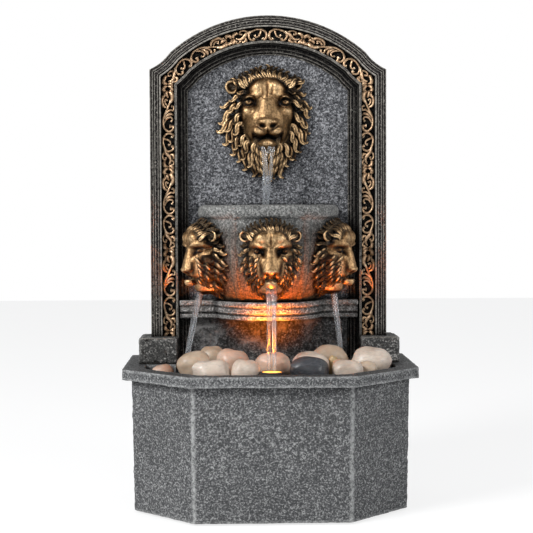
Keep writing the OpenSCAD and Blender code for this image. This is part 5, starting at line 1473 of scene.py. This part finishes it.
# %% [markdown]
# Under the ledge the wall is rough rock with broken faces, and the two plinth blocks are rough too.
# The rock is a grid pushed out by large flat-sided lumps and small crumbs: the nearest point of a
# cell pattern tilts a whole facet, as a break in stone does.

# %% Rock face
FACET_WIDE, FACET_TALL = 26, 17


def broken_rock(u, v):
    """Rock heights in mm: flat facets at their own tilts, with crumbs on them."""
    heights = []
    for a, b in zip(u, v):
        spot = Vector((a / FACET_WIDE, b / FACET_TALL, 4.2))
        distances, middles = noise.voronoi(spot)
        tilt = noise.cell_vector(middles[0] * 7)
        away = Vector((spot.x, spot.y, 0)) - Vector((middles[0].x, middles[0].y, 0))
        facet = 3.2 + 2.2 * (away.x * (tilt.x - 0.5) + away.y * (tilt.y - 0.5)) * 2 - 1.6 * distances[0]
        heights.append(max(0.4, facet + 0.9 * hills((a, 3, b), 6.0, 4) + 0.5 * hills((a, 9, b), 2.4, 2)))
    return np.array(heights)


rock = wall_skin("rock_face", stone_rock, broken_rock, half_wide=80.3, low=127, high=183,
                 grid=1.1, keep=lambda u, v: np.abs(u) < 79.9)
print("rock:", len(rock.data.polygons), "faces")

# %% [markdown]
# A plinth block is a cube with soft worn edges. It is divided four times, down to edges of 1 to
# 3 mm, because the noise can only push points that are there.

# %% Plinth blocks
BLOCK = (38.0, 44.5, 25.6)
BLOCK_AT = (109.75, 33.9, 150.9)


def plinth_block(name, side):
    """A rough block; side -1 is the left."""
    shape = bmesh.new()
    made = bmesh.ops.create_cube(shape, size=1)["verts"]
    bmesh.ops.scale(shape, vec=BLOCK, verts=made)
    bmesh.ops.bevel(shape, geom=list(shape.edges), offset=2.2, segments=3, profile=0.5, affect="EDGES",
                    material=-1)
    for _ in range(4):
        longest = [edge for edge in shape.edges if edge.calc_length() > 1.9]
        bmesh.ops.subdivide_edges(shape, edges=longest, cuts=1, use_grid_fill=True)
    shape.normal_update()
    moves = [vertex.normal * (0.55 * hills(vertex.co + Vector((side * 80, 0, 0)), 5.0, 4)
                              + 0.35 * hills(vertex.co + Vector((0, side * 60, 0)), 2.2, 2))
             for vertex in shape.verts]
    for vertex, move in zip(shape.verts, moves):
        vertex.co += move
    bmesh.ops.translate(shape, verts=shape.verts, vec=(side * BLOCK_AT[0], *BLOCK_AT[1:]))
    return piece_from(name, shape, stone_block)


blocks = [plinth_block("plinth_block_left", -1), plinth_block("plinth_block_right", 1)]
print("blocks:", [len(block.data.polygons) for block in blocks])

# %% [markdown]
# ## Pebbles
# River pebbles are smooth but never true eggs: each is a little square, flat on one side and
# dented. Each starts as an ico sphere, is squared off towards a box and pushed by soft noise, and
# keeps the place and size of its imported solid.

# %% Pebbles
TRAY_TOP = 126.0  # top of the tray that the stones lie on, in mm
STONES = {        # x, y, half width, half depth, half height and lean of each
    "white": [(-56.1, -62, 18.6, 12.2, 12.6, 8), (-25, -60, 13.6, 11.2, 12.6, -12),
              (38, -29, 17.8, 12.4, 14.5, 4), (71, -53, 14.6, 10.6, 11.6, 10),
              (97.6, -10, 20.0, 14.4, 15.0, -14)],
    "tan": [(-72.4, -30, 17.8, 13.4, 14.6, 12), (-55.6, -1, 14.2, 11.6, 16, -8),
            (58, -1, 18.4, 13.4, 15.6, 6), (91, -38, 10.8, 9.6, 10.2, -20)],
    "pink": [(-37.2, -25, 16.2, 12.4, 15.6, -10), (1.4, -32, 18.2, 13.4, 14, 9),
             (64, -36, 5.8, 5.8, 11, 0), (-103, -20, 10.8, 8.4, 8, 15)],
    "yellow": [(60.5, -22, 5.9, 5.8, 11.6, 0)],
    "black": [(35, -60, 19.8, 13.2, 13.2, -6)]}


def pebble(shape, place, seed):
    """Adds one stone to a bmesh."""
    x, y, wide, deep, tall, turn = place
    made = bmesh.ops.create_icosphere(shape, subdivisions=5, radius=1)["verts"]
    lean = Matrix.Rotation(math.radians(turn), 3, "Y")
    for vertex in made:
        way = lean @ vertex.co.normalized()
        box = (abs(way.x) ** 2.7 + abs(way.y) ** 2.5 + abs(way.z) ** 2.6) ** (-1 / 2.6)
        soft = noise.noise(way * 1.1 + Vector((seed * 7.3, 1.7, seed * 3.1)))
        small = noise.noise(way * 3.2 + Vector((1.3, seed * 5.9, 0.4)))
        full = min(1.06, box * (0.93 + 0.17 * soft + 0.022 * small))
        way = lean.transposed() @ way
        vertex.co = (x + wide * full * way.x, y + deep * full * way.y,
                     TRAY_TOP + tall + tall * max(-1, full * way.z))


pebbles = []
for number, (colour, places) in enumerate(STONES.items()):
    shape = bmesh.new()
    for step, place in enumerate(places):
        pebble(shape, place, number * 10 + step + 1)
    node = "pebble" + ("_" if len(places) == 1 else "s_") + colour
    pebbles.append(piece_from("river_" + node, shape, pebble_skins[colour], [node]))
print("pebbles:", {piece.name: len(piece.data.polygons) for piece in pebbles})

# %% [markdown]
# ## Water
# Still water is a thin rippled sheet: one lies among the stones and one in the bowl. Rings spread
# from where a stream lands. Falling water is a bundle of clear twisting filaments that thin as they
# speed up, so each stream is a few tapered strands wound loosely round a falling curve.

# %% Still water
BASIN_LEVEL, BOWL_LEVEL = 130.5, 288.0
BOWL_WATER_R = 58


def water_sheet(name, level, landings, **where):
    """A rippled sheet, 2 mm thick, at a level; landings are the places where streams fall in."""
    shape = bmesh.new()

    def ripples(u, v):
        height = np.array([0.35 * hills((a, b, 2), 9.0, 2) for a, b in zip(u, v)])
        for x, y in landings:
            far = np.hypot(u - x, v - y)
            height = height + 0.55 * np.cos(far * 0.9) * np.exp(-far / 11)
        return height

    relief_sheet(shape, ripples, grid=1.6, floor_at=-2.0, **where)
    for vertex in shape.verts:
        vertex.co = (vertex.co.x, vertex.co.z, level - vertex.co.y)
    return piece_from(name, shape, water)


def in_basin(u, v):
    """Which places lie inside the basin, whose sides run in towards the front."""
    return (np.abs(u) < 106 - np.clip(-v - 28, 0, 60)) & (v < 36) & (v > -72)


def in_bowl(u, v):
    """Which places lie inside the half-round bowl, in front of the panel."""
    return (u ** 2 + (v - FRONT) ** 2 < BOWL_WATER_R ** 2) & (v < FRONT - 2)


basin_water = water_sheet("basin_water", BASIN_LEVEL, [(0, -56), (-84, 3), (71, 0)],
                          half_wide=108, low=-74, high=38, keep=in_basin)
bowl_water = water_sheet("bowl_water", BOWL_LEVEL, [(-2, 8)], half_wide=60, low=-20, high=40, keep=in_bowl)
print("water faces:", len(basin_water.data.polygons), len(bowl_water.data.polygons))

# %% [markdown]
# A filament follows the curve of a fall, slow at the start and quick at the end, while it turns
# round the middle of its stream. Round strands bend light as a real stream does, with bright edges.

# %% Falling water
def stream_lines(rng, start, end, bow, width, count, twist, thick, steps=34):
    """Filaments from start to end; bow pushes the middle of the fall outwards."""
    start, end, bow = Vector(start), Vector(end), Vector(bow)
    lines = []
    for number in range(count):
        phase = number * math.tau / count + rng.uniform(-0.3, 0.3)
        line = []
        for step in range(steps + 1):
            t = step / steps
            fall = t * t * 0.72 + t * 0.28
            middle = Vector((start.x + (end.x - start.x) * t, start.y + (end.y - start.y) * t,
                             start.z + (end.z - start.z) * fall)) + bow * math.sin(math.pi * t)
            spread = width * (1 - 0.35 * t) * (1 + 0.10 * math.sin(t * 5 + number))
            angle = phase + twist * t * math.pi
            place = middle + Vector((math.cos(angle), math.sin(angle) * 0.45, 0)) * spread
            line.append((place, thick * (1.0 + 0.10 * math.sin(t * 9 + number * 1.9)) * (1 - 0.16 * t)))
        lines.append(line)
    return lines


def stream(name, *bundles):
    """One stream; a bundle is (start, end, bow, width, count, twist, thickness)."""
    rng = random.Random(len(name))
    lines = []
    for bundle in bundles:
        lines += stream_lines(rng, *bundle)
    shape = bmesh.new()
    shape.from_mesh(strand_mesh(name, lines, 2))
    return piece_from(name, shape, stream_water)


streams = [
    stream("stream_centre", ((-2.9, -39, 216), (-2.6, -56, 131), (0, -3, 0), 0.2, 1, 0.5, 1.9),
           ((2.4, -39, 216), (2.6, -56, 131), (0, -3, 0), 1.0, 2, 0.5, 1.9)),
    stream("stream_left", ((-65.5, 11, 217), (-84, 3, 131), (2.5, 1, 0), 1.9, 3, 0.6, 1.9)),
    stream("stream_right", ((62.5, 12, 217), (71.5, 2, 131), (-1.5, -1, 0), 1.9, 3, 0.6, 1.8)),
    stream("stream_mask", ((-1.0, 5, 350), (-2.0, 3.4, 318), (0, -1.5, 0), 5.6, 5, 0.35, 1.25),
           ((-2.0, 3.6, 322), (-3.6, 7.5, 288), (0, -1, 0), 3.6, 6, 0.9, 1.2))]
print("streams:", {piece.name: len(piece.data.polygons) for piece in streams})

# %% [markdown]
# Where a stream lands, small drops jump. They are ico spheres of few faces, since each is only a
# pixel or two wide, scattered within 7 mm of the landing.

# %% Splashes
def splash(name, landings, size=5):
    """Small drops round each place, x, y and z, where a stream lands."""
    rng = random.Random(21)
    shape = bmesh.new()
    for x, y, z in landings:
        for _ in range(16):
            turn, far = rng.uniform(0, math.tau), size * rng.uniform(0.3, 1.3)
            drop = bmesh.ops.create_icosphere(shape, subdivisions=2, radius=rng.uniform(0.35, 0.9))["verts"]
            bmesh.ops.scale(shape, vec=(1, 1, rng.uniform(0.7, 1.4)), verts=drop)
            bmesh.ops.translate(shape, verts=drop, vec=(
                x + far * math.cos(turn), y + far * math.sin(turn) * 0.7, z + rng.uniform(0.2, size * 0.55)))
    return piece_from(name, shape, stream_water)


drops = splash("splashes", [(0, -56, 131), (-84, 3, 131), (71.5, 2, 131), (-3, 7.5, 288)])
print("drops:", len(drops.data.polygons), "faces")

# %% [markdown]
# ## The warm lamp
# A sealed lamp stands in the water behind the front rim and shines up through the stream. Its glow
# on the ledge, the bowl and the heads is what makes the fountain look warm. The lens glows by
# itself, and a few narrow spot lamps just over it throw its light up the stream, onto the bowl,
# at the two side heads and back to the rock.

# %% Lamps under the stream
def warm_lamp(name, way, power, spread, soft, place_mm=(0, -58, 157)):
    """An orange spot lamp over the lens that looks along a way."""
    data = bpy.data.lights.new(name, "SPOT")
    data.energy = power
    data.color = (1.0, 0.21, 0.004)
    data.spot_size = math.radians(spread)
    data.spot_blend = soft
    data.shadow_soft_size = 7 * MM
    lamp = bpy.data.objects.new(name, data)
    lamp.location = Vector(place_mm) * MM
    lamp.rotation_euler = Vector(way).to_track_quat("-Z", "Y").to_euler()
    bpy.context.scene.collection.objects.link(lamp)
    return lamp


lamps = [warm_lamp("led_up", (0, 0.12, 1), power=1.2, spread=46, soft=0.6),
         warm_lamp("led_bowl", (0, 1, 0.95), power=3.7, spread=68, soft=1.0),
         warm_lamp("led_left", (-62, 60, 58), power=3.4, spread=36, soft=1.0),
         warm_lamp("led_right", (62, 60, 58), power=3.4, spread=36, soft=1.0),
         warm_lamp("led_back", (0, 1, 0.40), power=1.15, spread=66, soft=0.9, place_mm=(0, -46, 160))]
print("lamp power:", round(sum(lamp.data.energy for lamp in lamps), 1), "W")
